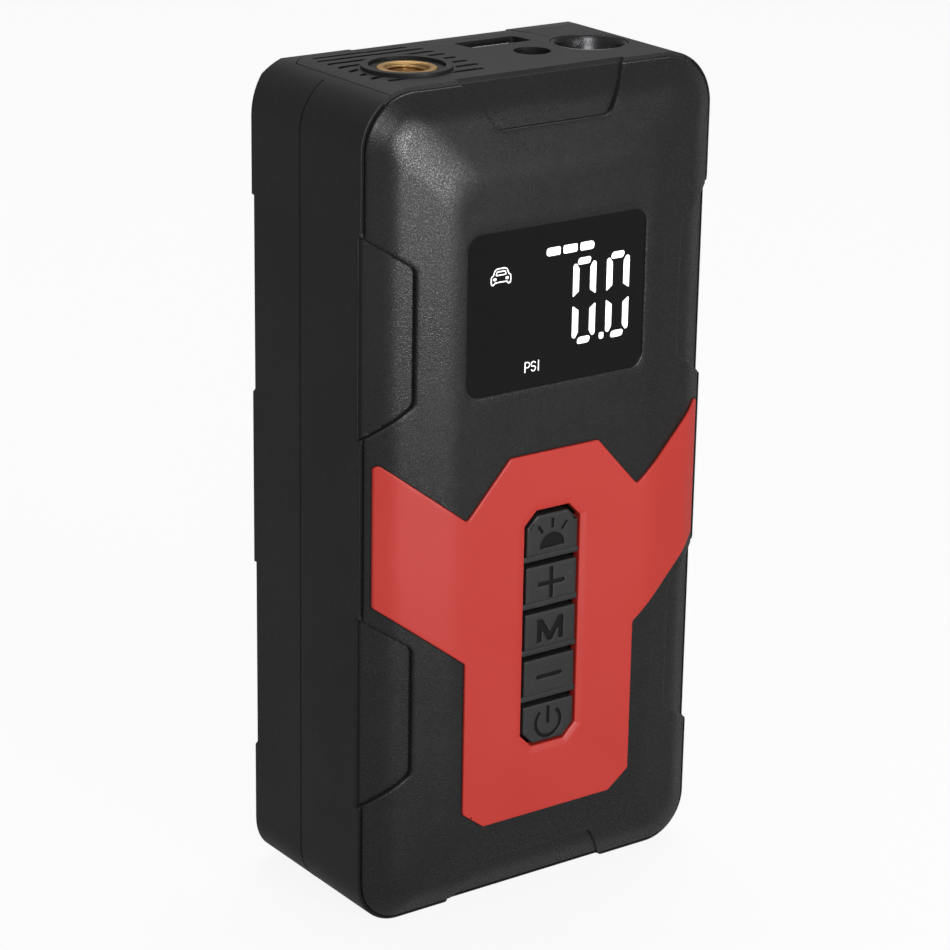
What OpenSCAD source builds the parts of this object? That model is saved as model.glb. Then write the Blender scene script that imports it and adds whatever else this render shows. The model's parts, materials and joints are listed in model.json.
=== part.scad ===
// Jump starter pack with a built-in tyre compressor.
// X is across the pack, -Y is the front, +Z is up, the origin is at the middle of the base.
// All lengths are in millimetres.

/* [Case] */
// Width of the case across its sides
body_w = 90; // [87:0.5:94]
// Height of the case from the base to the top face
body_h = 184.3; // [181:0.1:190]
// Depth of the case from its flat front to its flat back
case_d = 52.5; // [51:0.5:56]
// Wall thickness of the shells and the front cover
wall = 2.4; // [2:0.1:2.8]
// Corner radius at the top, seen from the front
top_r = 12.5; // [10:0.5:13]
// Corner radius at the base, seen from the front
base_r = 10.5; // [9:0.5:12]
// How far the front slopes fall back to the side wall
front_drop = 6.9; // [6:0.1:8]
// Width of the sloping band all round the front
front_slope = 18.4; // [17:0.1:18.8]
// Width of the steeper band at the edge of the front slopes
edge_band = 6; // [5:0.1:7]
// How far the steeper band falls
edge_drop = 3.8; // [3:0.1:4.2]
// How far the rear slopes fall forward to the side wall
rear_drop = 4.3; // [3.5:0.1:5]
// Width of the sloping band around the back
rear_slope = 14; // [12:0.5:16]
// How far the top face falls away at its rear edge
crown_drop = 1.1; // [0.6:0.1:1.4]
// Distance from the flat back to the seam between the shells
seam_from_rear = 23.1; // [22:0.1:24.5]

/* [Grip recesses] */
// Height of a side recess, measured at the side wall
recess_h = 43.8; // [38:0.2:46]
// Width of a side recess
recess_w = 10.6; // [9:0.1:12]
// How much a side recess narrows at each end
recess_taper = 7.4; // [6:0.1:9]
// Distance from the top of the case to the middle of the upper side recesses
recess_below_top = 51.1; // [49:0.1:53]
// Middle height of the lower side recesses
recess_lower_z = 50.4; // [48:0.1:52]
// Half width of the end recesses at the edge of the case
end_recess_w = 21.4; // [19:0.1:24]
// Height of the end recesses
end_recess_h = 10.4; // [8:0.1:12]
// Depth of the front recesses, measured front to back
front_recess = 1.4; // [1:0.1:1.6]
// Depth of the rear recesses, measured front to back
rear_recess = 0.9; // [0.6:0.1:1.2]

/* [Accent panel] */
// Height that the accent panel stands proud of the front cover
panel_proud = 0.6; // [0.4:0.05:0.8]
// Depth of the pocket that the accent panel lies in
panel_pocket = 0.8; // [0.7:0.05:0.85]
// Half width of the panel's column
panel_column = 22.6; // [21:0.1:24]
// Distance from the panel's wings to the side walls
panel_side = 2.4; // [2.3:0.1:4]
// Half width of the panel's top edge
panel_top_w = 11.6; // [10:0.1:13]
// Height of the panel's lower edge above the base
panel_low_z = 20.1; // [19:0.1:22]
// Distance from the top of the case to the panel's top edge
panel_below_top = 80.5; // [79:0.1:82]
// Height of the wing's upper outer corner above the panel's top edge
wing_lift = 3.3; // [3:0.1:4]
// Height of the wing's outer edge
wing_edge_h = 32.3; // [30:0.1:34]
// Rise of the wing's slanted edges
wing_rise = 15.3; // [14:0.1:16]
// Gap all round the accent panel and the display window
inlay_gap = 0.15; // [0.1:0.01:0.2]

/* [Keys] */
// Half width of the slot that the keys stand in
slot_w = 7.42; // [7:0.02:7.8]
// Height of the lower end of the key slot above the base
slot_low_z = 36; // [34:0.1:37]
// Distance from the panel's top edge down to the key slot
slot_below_panel = 13.2; // [12:0.1:14]
// Gap round a key
key_gap = 0.3; // [0.25:0.01:0.35]
// Gap between two neighbouring keys
key_split = 1.1; // [0.9:0.05:1.2]
// How far a key's face lies below the flat front
key_set = 0.15; // [0:0.05:0.8]
// How far the row of keys sits below the middle of its slot
key_drop = 1; // [0:0.05:1.2]
// Gap between the slot and the sides of a key's raised face
face_gap = 0.42; // [0.35:0.01:1]
// Gap between the slot's upper end and the top key's face
top_gap = 1.1; // [0.4:0.05:1.5]
// Height of the ledge below a key's raised face
ledge_h = 0.95; // [0.8:0.05:1.5]
// How far the ledge lies behind the raised face
ledge_set = 0.55; // [0.3:0.05:0.8]
// Travel of a key
key_travel = 0.8; // [0.6:0.05:1]
// Radius of a tact switch's plunger
plunger_r = 1.5; // [1.3:0.05:1.7]

/* [Display] */
// Half width of the display window
window_w = 22.9; // [21:0.1:24]
// Height of the display window
window_h = 34.5; // [32:0.1:36]
// Distance from the top of the case to the middle of the display window
window_below_top = 48.4; // [47:0.1:50]
// Corner radius of the display window
window_r = 3; // [2:0.1:4]
// Thickness of the display window
window_t = 1.2; // [1:0.05:1.3]
// Height of a large digit
digit_h = 17.2; // [16:0.1:18]
// Width of a large digit, between the middles of its strokes
digit_w = 5.2; // [5:0.1:5.6]

/* [End panel] */
// Distance from the end panel to the side walls
end_side = 7.4; // [7:0.1:8]
// Distance from the flat back to the end panel's rear edge at the grille
end_from_rear = 6.5; // [6.3:0.1:7.1]
// Number of slots in the grille
grille_count = 8; // [6:1:8]
// Width of a grille slot
grille_slot = 1.5; // [1.2:0.05:1.8]
// Distance from the end panel's left edge to the grille
grille_side = 2.5; // [2:0.1:3.5]
// Distance from the end panel's front edge to the middle of the first slot
grille_front = 7; // [6:0.1:8]
// Distance from the end panel's rear edge to the middle of the last slot
grille_back = 3.9; // [3:0.1:4.5]
// Distance from the grille to the USB socket
grille_to_usb = 9.3; // [8:0.1:11]

/* [Air outlet] */
// Distance from the end panel's left edge to the air outlet's axis
outlet_from_side = 14.2; // [13.6:0.1:14.8]
// Distance from the flat back to the air outlet's axis
outlet_from_rear = 30.2; // [29.5:0.1:31]
// Outer radius of the brass outlet
outlet_r = 6.4; // [6:0.05:6.6]
// Radius of the outlet's threaded hole
outlet_bore = 4.1; // [3.6:0.05:4.4]
// Depth of the outlet's threaded hole
outlet_depth = 9; // [7:0.5:10]
// Outer radius of the collar round the outlet
collar_r = 9.6; // [9.2:0.05:10]
// Height of the collar above the end panel
collar_h = 0.8; // [0.5:0.05:1]

/* [Sockets and torch] */
// Sideways distance from the torch's axis to the middle of the USB socket
usb_from_torch = 17.5; // [17:0.1:18]
// Distance from the flat back to the middle of the USB socket
usb_from_rear = 17; // [16.5:0.1:17.5]
// Outer width of the USB socket's metal shell
usb_w = 13.2; // [13:0.05:13.5]
// Outer thickness of the USB socket's metal shell
usb_t = 5.8; // [5.7:0.05:6]
// Sideways distance from the torch's axis to the DC socket's axis
dc_from_torch = 16; // [15.6:0.1:16.4]
// Distance from the flat back to the DC socket's axis
dc_from_rear = 29.7; // [29.3:0.1:30.5]
// Radius of the opening over the DC socket
dc_r = 4; // [3.8:0.05:4.2]
// Distance from the end panel's right edge to the torch's axis
torch_from_side = 12.7; // [12.4:0.1:13]
// Distance from the flat back to the torch's axis
torch_from_rear = 28.6; // [27.5:0.1:29.5]
// Radius of the torch opening
torch_r = 8.4; // [8:0.05:8.5]

/* [Jump lead socket] */
// Distance from the top of the case to the middle of the jump lead socket
jump_below_top = 44.3; // [42:0.1:46]
// Length of the hinged rubber cover
flap_h = 27; // [26:0.5:28]
// Width of the hinged rubber cover
flap_w = 13.2; // [13:0.1:14]
// Radius of the cover's hinge pin
flap_pin_r = 0.6; // [0.5:0.05:0.65]

/* [Compressor] */
// Distance from the flat back to the compressor's axis
comp_from_rear = 21.5; // [21:0.1:22]
// Radius of the motor's can
motor_r = 14; // [13.6:0.1:14.2]
// Length of the motor's can
motor_len = 38; // [36:0.5:40]
// Teeth on the motor pinion
pinion_teeth = 10; // [10:1:10]
// Teeth on the crank gear
gear_teeth = 44; // [44:4:44]
// Tooth module of the two gears
tooth_module = 0.6; // [0.58:0.01:0.62]
// Thickness of the crank gear
gear_t = 4; // [3.6:0.1:4.2]
// Radius of the cylinder's bore
bore_r = 9; // [8.6:0.1:9.2]
// Distance that the piston travels
stroke = 9; // [7:0.5:9]
// Distance from the crank pin to the piston's crown
rod_len = 26; // [25.5:0.1:26.5]
// Running clearance on a radius between a turning or sliding part and its seat
run_fit = 0.05; // [0.03:0.01:0.08]

/* [Battery and boards] */
// Gap between the battery tray and the columns of the case screws
tray_side = 0.9; // [0.6:0.1:3]
// Gap between the battery tray and the motor above it
tray_below_motor = 16.3; // [6:0.1:20]
// Distance from the flat back to the main board's front face
board_from_rear = 9.8; // [9:0.1:11]
// Number of battery cells
cell_count = 3; // [3:1:3]
// Wall of the battery tray
tray_wall = 1.5; // [1.2:0.1:1.6]
// Thickness of every circuit board
board_t = 1.6; // [1.2:0.1:1.8]

/* [Screws] */
// Radius of a case screw
screw_r = 1.4; // [1.3:0.05:1.5]
// Radius of a case screw's head
screw_head_r = 2.5; // [2.3:0.05:2.6]

/* [Hidden] */
$fn = 64;
eps = 0.01;

// Planes of the case
front_y = -(case_d + panel_proud)/2 + panel_proud;
rear_y = front_y + case_d;
front_edge_y = front_y + front_drop;
cover_y = front_edge_y + 0.15;
rear_edge_y = rear_y - rear_drop;
seam_y = rear_y - seam_from_rear;
crown_y = front_y + case_d/2;
half_w = body_w/2;
inner_top = body_h - wall;

// Places on the front
panel_wing = half_w - panel_side;
panel_high_z = body_h - panel_below_top;
wing_high_z = panel_high_z + wing_lift;
window_z = body_h - window_below_top;

// Places on the end panel
end_w = half_w - end_side;
end_front_y = cover_y + 0.05;
end_rear_y = rear_y - end_from_rear;
outlet_x = outlet_from_side - end_w;
outlet_y = rear_y - outlet_from_rear;
torch_x = end_w - torch_from_side;
torch_y = rear_y - torch_from_rear;
usb_x = torch_x - usb_from_torch;
usb_y = rear_y - usb_from_rear;
dc_x = torch_x - dc_from_torch;
dc_y = rear_y - dc_from_rear;

// Shared clearances
seat_gap = 0.3;
screw_gap = 0.2;
thread_gap = 0.05;

// Keys
key_names = ["power", "minus", "mode", "plus", "light"];
key_back = wall + seat_gap;
key_flange = 0.8;
key_stem = 1.5;
key_lip = 1.5;
end_key_extra = 0.85;
slot_high_z = panel_high_z - slot_below_panel;
key_pitch = (slot_high_z - slot_low_z - 2*end_key_extra + key_split)/len(key_names);
key_h = key_pitch - key_split;
symbol_h = key_h - 2.7;
slot_chamfer = 3.1;
stem_end = key_back + key_flange + key_stem;
switch_top = stem_end + key_travel + seat_gap;
switch_d = 3.5;
switch_w = 6.2;
pad_front = switch_top + switch_d;
board_back = pad_front + board_t;
pad_screw_t = 1.1;
pad_screw_r = 0.8;
pad_post_r = 2.4;
post_out = slot_w + 5.08;

// Display
module_t = 4.5;
module_rim = 0.6;
film_t = 0.1;
stroke_w = 1.7;
digit_pitch = 8.8;
digit_x = 4.1;
digit_low_z = window_z - 8.8;
dash_pitch = 4.5;
dash_x = -2;
dash_z = window_z + 11.6;

// Sockets
collar_in = 8.1;
sleeve_t = 1.6;
outlet_top = body_h + 0.3;
fitting_low = body_h - 14;
outlet_sleeve = 6;
air_r = 1;
nipple_r = 2.05;
hose_t = 1.5;
hose_len = 10.4;
port_z = body_h - 14.3;
dc_depth = 11.5;
dc_bore = 2.8;
usb_lip = 1.2;
usb_wall = 0.3;
usb_top = body_h - 1.6;
torch_depth = 9;

// Compressor
comp_x = outlet_x;
comp_y = rear_y - comp_from_rear;
head_t = 6;
head_room = 1.2;
cylinder_high = fitting_low - hose_len - head_t;
crown_low_z = cylinder_high - head_room - stroke;
crank_r = stroke/2;
crank_z = crown_low_z + crank_r - rod_len;
gear_span = tooth_module*(pinion_teeth + gear_teeth)/2;
tooth_out = 0.9*tooth_module;
motor_z = crank_z - gear_span;
axle_r = 2;
shaft_r = 1;
frame_t = 2;
frame_out = 9.2;
frame_x = comp_x + frame_out;
gear_back = 1.3;
gear_x = frame_x - gear_back;
rod_t = 3;
rod_eye_r = 4;
pin_r = 1.5;
shelf_room = 1.06;
shelf_z = crank_z + tooth_module*gear_teeth/2 + tooth_out + shelf_room;
cylinder_low = shelf_z + frame_t;
piston_t = 4;
seal_t = 2.4;
seal_w = 2.2;
cylinder_t = 2;
tie_r = 1.2;
tie_at = bore_r + 1;
head_half = tie_at + 2.4;
rib_y = comp_y + motor_r + 3;

// Battery
post_in = 4;
post_x = half_w - wall - post_in;
post_r = 3.2;
column_r = 3.9;
tray_half = post_x - column_r - tray_side;
cell_w = 2*(tray_half - tray_wall - seat_gap);
board_stand = 1.6;
board_y = rear_y - board_from_rear;
tray_front = front_y + board_back + pad_screw_t + 4*seat_gap;
tray_back = board_y - board_stand - tray_wall;
cell_t = (tray_back - tray_front - tray_wall - seat_gap)/cell_count - seat_gap;
cell_low = wall + tray_wall;
tray_high = motor_z - motor_r - tray_below_motor;
cell_h = tray_high - tray_wall - seat_gap - cell_low;
board_half = tray_half - 2.8;
board_low = wall + 9.6;
board_high = tray_high - 3.7;
board_hole = 4;
stand_r = 2.6;
board_screw_r = 0.9;
relay_w = 18;
relay_h = 16;
relay_x = 7 - board_half;
relay_drop = 12;
capacitor_r = 3.2;
capacitor_pitch = 8;
capacitor_x = board_half - 25;

// Case screws
post_low_z = 14;
post_high_z = body_h - 14.3;
head_seat = 8;
thread_depth = 12;

// Jump lead socket
jump_y = (seam_y + rear_edge_y)/2;
jump_z = body_h - jump_below_top;
flap_t = 2;
flap_lift = 1.8;
flap_x = half_w - 0.05 - flap_t;
knuckle_r = flap_pin_r + 0.45;
pin_x = half_w - 0.05 - knuckle_r;
pin_slack = 0.02;
pin_reach = flap_w/2 + seat_gap + 1.2;
flap_high_z = jump_z + flap_h/2;
flap_pin_z = flap_high_z - knuckle_r;
boss_t = 2.4;
jump_w = 20;
jump_t = flap_w - 2.6;
jump_len = 16;
jump_wall = 1.5;
jump_mouth = 12;
jump_flange = 2;
contact_r = 2;
contact_at = 4.6;

// A solid with its outline in X and Z, from y0 to y1
module along_y(y0, y1) {
    translate([0, y1, 0]) rotate([90, 0, 0]) linear_extrude(y1 - y0) children();
}

// A solid with its outline in Y and Z, from x0 to x1
module along_x(x0, x1) {
    translate([x0, 0, 0]) rotate([90, 0, 90]) linear_extrude(x1 - x0) children();
}

// A solid with its outline in X and Y, from z0 to z1
module along_z(z0, z1) {
    translate([0, 0, z0]) linear_extrude(z1 - z0) children();
}

// A box given by its lowest and highest corners
module box(low, high) {
    translate(low) cube(high - low);
}

// A cylinder along Y at x, z
module rod_y(x, z, y0, y1, r) {
    along_y(y0, y1) translate([x, z]) circle(r);
}

// A cylinder along X at y, z
module rod_x(y, z, x0, x1, r) {
    along_x(x0, x1) translate([y, z]) circle(r);
}

// A cylinder along Z at x, y
module rod_z(x, y, z0, z1, r) {
    along_z(z0, z1) translate([x, y]) circle(r);
}

// A rectangle with round corners about its middle
module round_rect(w, h, r) {
    square([w - 2*r, h], center = true);
    square([w, h - 2*r], center = true);
    for (sx = [-1, 1], sy = [-1, 1]) translate([sx*(w/2 - r), sy*(h/2 - r)]) circle(r);
}

// Front view outline of the case, drawn in by t
module case_outline(t) {
    translate([-(half_w - t), base_r]) square([body_w - 2*t, body_h - base_r - top_r]);
    translate([-(half_w - base_r), t]) square([body_w - 2*base_r, base_r]);
    translate([-(half_w - top_r), body_h - top_r - eps]) square([body_w - 2*top_r, top_r - t + eps]);
    for (s = [-1, 1]) {
        translate([s*(half_w - base_r), base_r]) circle(base_r - t);
        translate([s*(half_w - top_r), body_h - top_r]) circle(top_r - t);
    }
}

// How far the top face has fallen at y
function crown(y) = y < crown_y ? 0 : crown_drop*pow((y - crown_y)/(rear_edge_y - crown_y), 2);
crown_steps = 6;

// A closed convex outline with its points clockwise, every edge moved in by t
function inward(a, b) = [b[1] - a[1], a[0] - b[0]]/norm(b - a);
function inset(p, t) = let (n = len(p)) [for (i = [0:n - 1]) let (
    a = inward(p[(i + n - 1)%n], p[i]),
    b = inward(p[i], p[(i + 1)%n])
) p[i] + t*(a + b)/(1 + a*b)];
function turned(p) = [for (i = [len(p) - 1:-1:0]) p[i]];

// The slopes from front to rear, as distance in from the outline and place in Y
slopes = [
    [front_slope, front_y], [edge_band, front_edge_y - edge_drop], [0, front_edge_y],
    [0, rear_edge_y], [rear_slope, rear_y]
];

// Plan view of the case
case_plan = concat(
    [for (q = turned(slopes)) [half_w - q[0], q[1]]],
    [for (q = slopes) [q[0] - half_w, q[1]]]
);

// Side view of the case, with the top face falling to the rear
case_side = concat(
    [for (q = turned(slopes)) [q[1], q[0]]],
    [for (q = slopes) if (q[1] < rear_edge_y) [q[1], body_h - q[0]]],
    [for (i = [0:crown_steps]) let (y = crown_y + (rear_edge_y - crown_y)*i/crown_steps)
        [y, body_h - crown(y)]],
    [[rear_y, body_h - rear_slope]]
);

// The steeper band turned about the axis of a corner of radius r, cut off short of its tip.
// Inside the wall it stands a little forward, so that it crosses the straight bands cleanly.
module round_corner(r, t) {
    steep = edge_drop/edge_band;
    shallow = (front_drop - edge_drop)/(front_slope - edge_band);
    tip = front_edge_y - r*steep + t*norm([1, steep]) - (t > 0 ? 0.3 : 0);
    face = front_edge_y - edge_drop - (r - edge_band)*shallow + t*norm([1, shallow]);
    cut = (tip + face)/2;
    rotate([-90, 0, 0]) rotate_extrude() polygon([
        [0, cut], [(cut - tip)/steep, cut], [r - t, tip + (r - t)*steep], [r - t, rear_y + 2], [0, rear_y + 2]
    ]);
}

// Cuts the straight band and wall back to round ones outside the axis of a corner
module corner_cut(r, z, up, t) {
    for (s = [-1, 1]) translate([s*(half_w - r), 0, z]) difference() {
        box([s < 0 ? -r - 1 : 0, front_y - 1, up ? 0 : -r - 1],
            [s < 0 ? 0 : r + 1, rear_y + 1, up ? r + 1 : 0]);
        round_corner(r, t);
    }
}

// The whole body of the case, drawn in by t
module case_block(t = 0) {
    difference() {
        intersection() {
            along_z(-1, body_h + 1) polygon(inset(case_plan, t));
            along_x(-half_w - 1, half_w + 1) polygon(inset(case_side, t));
        }
        corner_cut(top_r, body_h - top_r, true, t);
        corner_cut(base_r, base_r, false, t);
    }
}

// Outline of one side recess about its middle height, open past the side wall
module recess_outline(z) {
    over = 3;
    slant = recess_taper/recess_w;
    for (s = [-1, 1]) translate([s*half_w, z]) polygon([
        [s*over, -recess_h/2 - over*slant], [-s*recess_w, -recess_h/2 + recess_taper],
        [-s*recess_w, recess_h/2 - recess_taper], [s*over, recess_h/2 + over*slant]
    ]);
}

// Outline of the end recess at the top or the base
module end_recess_outline(z, up) {
    over = 3;
    inner = end_recess_w - 0.7*end_recess_h;
    translate([0, z]) polygon([
        [-end_recess_w - 0.7*over, up*over], [-inner, -up*end_recess_h],
        [inner, -up*end_recess_h], [end_recess_w + 0.7*over, up*over]
    ]);
}

module recess_outlines() {
    recess_outline(body_h - recess_below_top);
    recess_outline(recess_lower_z);
    end_recess_outline(body_h, 1);
    end_recess_outline(0, -1);
}

// The body of the case with the grip recesses cut into its front and rear slopes
module recessed_block() {
    difference() {
        case_block();
        difference() {
            along_y(front_y - 1, crown_y - 6) recess_outlines();
            translate([0, front_recess, 0]) case_block();
        }
        difference() {
            along_y(crown_y + 6, rear_y + 1) recess_outlines();
            translate([0, -rear_recess, 0]) case_block();
        }
    }
}

// The part of the children between two planes across Y
module between_y(y0, y1) {
    intersection() {
        children();
        box([-half_w - 1, y0, -1], [half_w + 1, y1, body_h + 1]);
    }
}

function mirrored(p) = [for (q = turned(p)) [-q[0], q[1]]];

// Outline of the accent panel, grown by g
module panel_outline(g = 0) {
    notch_z = wing_high_z - wing_rise;
    inner_z = wing_high_z - wing_edge_h - wing_rise;
    foot = 5.4;
    foot_rise = 4.2;
    right = [
        [panel_top_w + g/2, panel_high_z + g], [panel_column, notch_z + g],
        [panel_wing + g, wing_high_z + g*1.6], [panel_wing + g, wing_high_z - wing_edge_h - g/2],
        [panel_column + g, inner_z - g/2], [panel_column + g, panel_low_z + foot_rise - g/2],
        [panel_column - foot + g/2, panel_low_z - g]
    ];
    polygon(concat(right, mirrored(right)));
}

// Outline of the key slot, grown by g
module slot_outline(g = 0) {
    c = slot_chamfer;
    right = [
        [slot_w - c + g/2, slot_high_z + g], [slot_w + g, slot_high_z - c + g/2],
        [slot_w + g, slot_low_z + c - g/2], [slot_w - c + g/2, slot_low_z - g]
    ];
    polygon(concat(right, mirrored(right)));
}

module window_outline(g = 0) {
    translate([0, window_z]) round_rect(2*window_w + 2*g, window_h + 2*g, window_r + g);
}

// Middle height of key i, counted from the lowest
function key_z(i) = slot_low_z + end_key_extra + key_pitch*(i + 0.5) - key_split/2 - key_drop;

// Posts behind the cover that the key board is screwed to
module key_posts(r, y0, y1) {
    for (s = [-1, 1], z = [key_z(0), key_z(4)]) rod_y(s*post_out, z, y0, y1, r);
}

module front_cover() {
    color("#2b2b2d") difference() {
        union() {
            difference() {
                between_y(front_y - 1, cover_y) recessed_block();
                case_block(wall);
            }
            key_posts(pad_post_r, front_y + wall - eps, front_y + pad_front);
        }
        difference() {
            along_y(front_y - 1, crown_y) panel_outline(inlay_gap);
            translate([0, panel_pocket, 0]) case_block();
        }
        along_y(front_y - 1, front_y + film_t + window_t) window_outline(inlay_gap);
        along_y(front_y - 1, front_y + wall + 1) window_outline(-2);
        along_y(front_y - 1, front_y + wall + 1) slot_outline();
        key_posts(pad_screw_r + thread_gap, front_y + pad_front - 4, front_y + pad_front + 1);
    }
}

// Centres of the four case screws
module at_posts() {
    for (s = [-1, 1], z = [post_low_z, post_high_z]) translate([s*post_x, 0, z]) mirror([s < 0 ? 1 : 0, 0, 0])
        children();
}

// Plan of the end panel, grown by g
module end_plan(g = 0) {
    step_x = -4.5;
    step = 2.8;
    y0 = end_front_y;
    y1 = end_rear_y;
    polygon([
        [-end_w - g, y0 - g], [end_w + g, y0 - g],
        [end_w + g, y1 - step - 3 + g], [end_w - 3 + g, y1 - step + g],
        [step_x + step + g, y1 - step + g], [step_x + g, y1 + g],
        [-end_w + 4 - g, y1 + g], [-end_w - g, y1 - 4 + g]
    ]);
}

module end_opening() {
    along_z(inner_top - crown_drop - 3, body_h + 1) end_plan(inlay_gap);
}

module front_shell() {
    lip = 3;
    color("#303032") difference() {
        union() {
            difference() {
                between_y(cover_y, seam_y) recessed_block();
                case_block(wall);
            }
            difference() {
                between_y(cover_y, cover_y + 1.5) case_block(wall - eps);
                along_y(front_y, seam_y) case_outline(wall + lip);
                box([-end_w - 2, front_y, inner_top - 8], [end_w + 2, seam_y, body_h]);
            }
            between_y(cover_y + eps, seam_y) intersection() {
                case_block(wall/2);
                at_posts() {
                    rod_y(0, 0, front_y, seam_y, post_r);
                    box([0, front_y, -1], [post_r + 3, seam_y, 1]);
                }
            }
        }
        end_opening();
        at_posts() rod_y(0, 0, seam_y - thread_depth, seam_y + 1, screw_r + thread_gap);
    }
}

// Ribs inside the rear shell that carry the compressor's frame and the motor
module rear_ribs() {
    rib = 2;
    motor_rib_x = frame_x + frame_t + motor_len - 9.2;
    for (z = [motor_z - 8, crank_z + 6])
        box([frame_x - 2*rib, rib_y, z - rib], [frame_x + 3*rib, rear_y - wall/2, z + rib]);
    box([motor_rib_x, comp_y + motor_r + seat_gap, motor_z - 2*rib],
        [motor_rib_x + 1.5*rib, rear_y - wall/2, motor_z + 2*rib]);
}

// The pocket in the side wall that the rubber cover closes
module flap_pocket() {
    box([half_w - boss_t, jump_y - flap_w/2 - seat_gap, jump_z - flap_h/2 - flap_lift],
        [half_w + 1, jump_y + flap_w/2 + seat_gap, flap_high_z + 0.5]);
}

module rear_shell() {
    pocket_half = flap_w/2 + seat_gap + 1.6;
    color("#303032") difference() {
        union() {
            difference() {
                between_y(seam_y, rear_y + 1) recessed_block();
                case_block(wall);
            }
            intersection() {
                case_block(wall/2);
                union() {
                    rear_ribs();
                    box([half_w - wall - boss_t, jump_y - pocket_half, jump_z - flap_h/2 - flap_lift - 1.6],
                        [half_w, jump_y + pocket_half, flap_high_z + 2.1]);
                    at_posts() {
                        rod_y(0, 0, seam_y, rear_y, column_r);
                        box([0, seam_y, -1], [column_r + 3, rear_y, 1]);
                    }
                }
            }
        }
        end_opening();
        flap_pocket();
        box([0, jump_y - jump_t/2 - 0.1, jump_z - jump_w/2 - 0.1],
            [half_w, jump_y + jump_t/2 + 0.1, jump_z + jump_w/2 + 0.1]);
        rod_y(pin_x, flap_pin_z, jump_y - pin_reach - 0.2, jump_y + pin_reach + 0.2, flap_pin_r + pin_slack);
        at_posts() {
            rod_y(0, 0, seam_y - 1, rear_y, screw_r + screw_gap);
            rod_y(0, 0, seam_y + head_seat, rear_y + 1, screw_head_r + screw_gap);
        }
    }
}

module accent_panel() {
    color("#c5443f") difference() {
        intersection() {
            along_y(front_y - panel_proud, front_edge_y) panel_outline();
            translate([0, -panel_proud, 0]) case_block();
        }
        translate([0, panel_pocket, 0]) case_block();
        along_y(front_y - 2, crown_y) slot_outline();
    }
}

module display_window() {
    color("#141416") along_y(front_y + film_t, front_y + film_t + window_t) window_outline();
}

// One segment of a digit: a bar with pointed ends about its middle
module segment(length, upright) {
    h = stroke_w/2;
    l = length/2;
    rotate(upright ? 90 : 0) polygon([[-l, 0], [-l + h, h], [l - h, h], [l, 0], [l - h, -h], [-l + h, -h]]);
}

// A seven segment zero with its lower left corner at the origin
module zero() {
    half = digit_h/2;
    for (z = [0, digit_h]) translate([digit_w/2, z]) segment(digit_w - 0.9, false);
    for (x = [0, digit_w], z = [half/2 + 0.2, 3*half/2 - 0.2]) translate([x, z]) segment(half - 1.2, true);
}

module display_digits() {
    color("white") along_y(front_y, front_y + film_t) {
        for (i = [0, 1]) translate([digit_x + digit_pitch*i, digit_low_z]) zero();
        translate([digit_x + (digit_w + digit_pitch)/2, digit_low_z + 0.2]) circle(0.8);
        for (i = [0:2]) translate([dash_x + dash_pitch*i, dash_z]) round_rect(dash_pitch - 0.4, 1.9, 0.6);
    }
}

module display_module() {
    color("#e8e8e4") difference() {
        box([-window_w - module_rim, front_y + wall, window_z - window_h/2 - module_rim],
            [window_w + module_rim, front_y + wall + module_t, window_z + window_h/2 + module_rim]);
        box([-window_w + 3, front_y + wall - 1, window_z - window_h/2 + 3],
            [window_w - 3, front_y + wall + 2, window_z + window_h/2 - 3]);
    }
}

// Symbols cut into the keys, about the middle of each key, drawn 7 high and scaled to the key
module key_symbol(name) {
    bar = 0.6;
    scale(symbol_h/7) {
        if (name == "plus" || name == "minus") square([7, bar], center = true);
        if (name == "plus") square([bar, 7], center = true);
        if (name == "mode") for (s = [-1, 1]) scale([s, 1]) polygon([
            [2.4, -2.6], [3.3, -2.6], [3.3, 2.6], [2.5, 2.6], [0, -0.6], [0, -1.8], [2.4, 1.2]
        ]);
        if (name == "power") {
            difference() {
                circle(3.6);
                circle(2.9);
                translate([-1.4, 0]) square([2.8, 5]);
            }
            translate([-bar/2, 0.2]) square([bar, 4.2]);
        }
        if (name == "light") translate([0, -2.6]) {
            intersection() {
                circle(3.2);
                translate([-4, 0]) square([8, 4]);
            }
            for (a = [-38, 0, 38]) rotate(a) translate([-bar/2, 4.3]) square([bar, 2.4]);
        }
    }
}

// Outline of key i, gap clear of the slot, with its lower edge raised by up
module key_outline(i, gap, up = 0) {
    low = i == 0 ? slot_low_z + gap : key_z(i) - key_h/2 + up;
    high = i == 4 ? slot_high_z - top_gap : key_z(i) + key_h/2;
    intersection() {
        slot_outline(-gap);
        translate([-slot_w, low]) square([2*slot_w, high - low]);
    }
}

module key(i) {
    symbol_depth = 0.35;
    wing = slot_w + 0.9;
    color("#3a3a3c") {
        difference() {
            union() {
                along_y(front_y + key_set, front_y + key_back) key_outline(i, face_gap, ledge_h);
                along_y(front_y + key_set + ledge_set, front_y + key_back + key_flange)
                    key_outline(i, key_gap);
            }
            along_y(front_y + key_set - 1, front_y + key_set + symbol_depth)
                translate([0, key_z(i)]) key_symbol(key_names[i]);
        }
        box([-wing, front_y + key_back, key_z(i) - key_h/2 + key_lip],
            [wing, front_y + key_back + key_flange, key_z(i) + key_h/2 - key_lip]);
        rod_y(0, key_z(i), front_y + key_back, front_y + stem_end, plunger_r + 0.2);
    }
}

module plunger(i) {
    color("#b0b0b0") rod_y(0, key_z(i), front_y + stem_end, front_y + switch_top + 0.9, plunger_r);
}

module key_switches() {
    half = switch_w/2;
    color("#1a1a1a") for (i = [0:4]) difference() {
        box([-half, front_y + switch_top, key_z(i) - half], [half, front_y + pad_front, key_z(i) + half]);
        rod_y(0, key_z(i), front_y + switch_top - 1, front_y + pad_front - 0.8, plunger_r + run_fit);
    }
}

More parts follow.
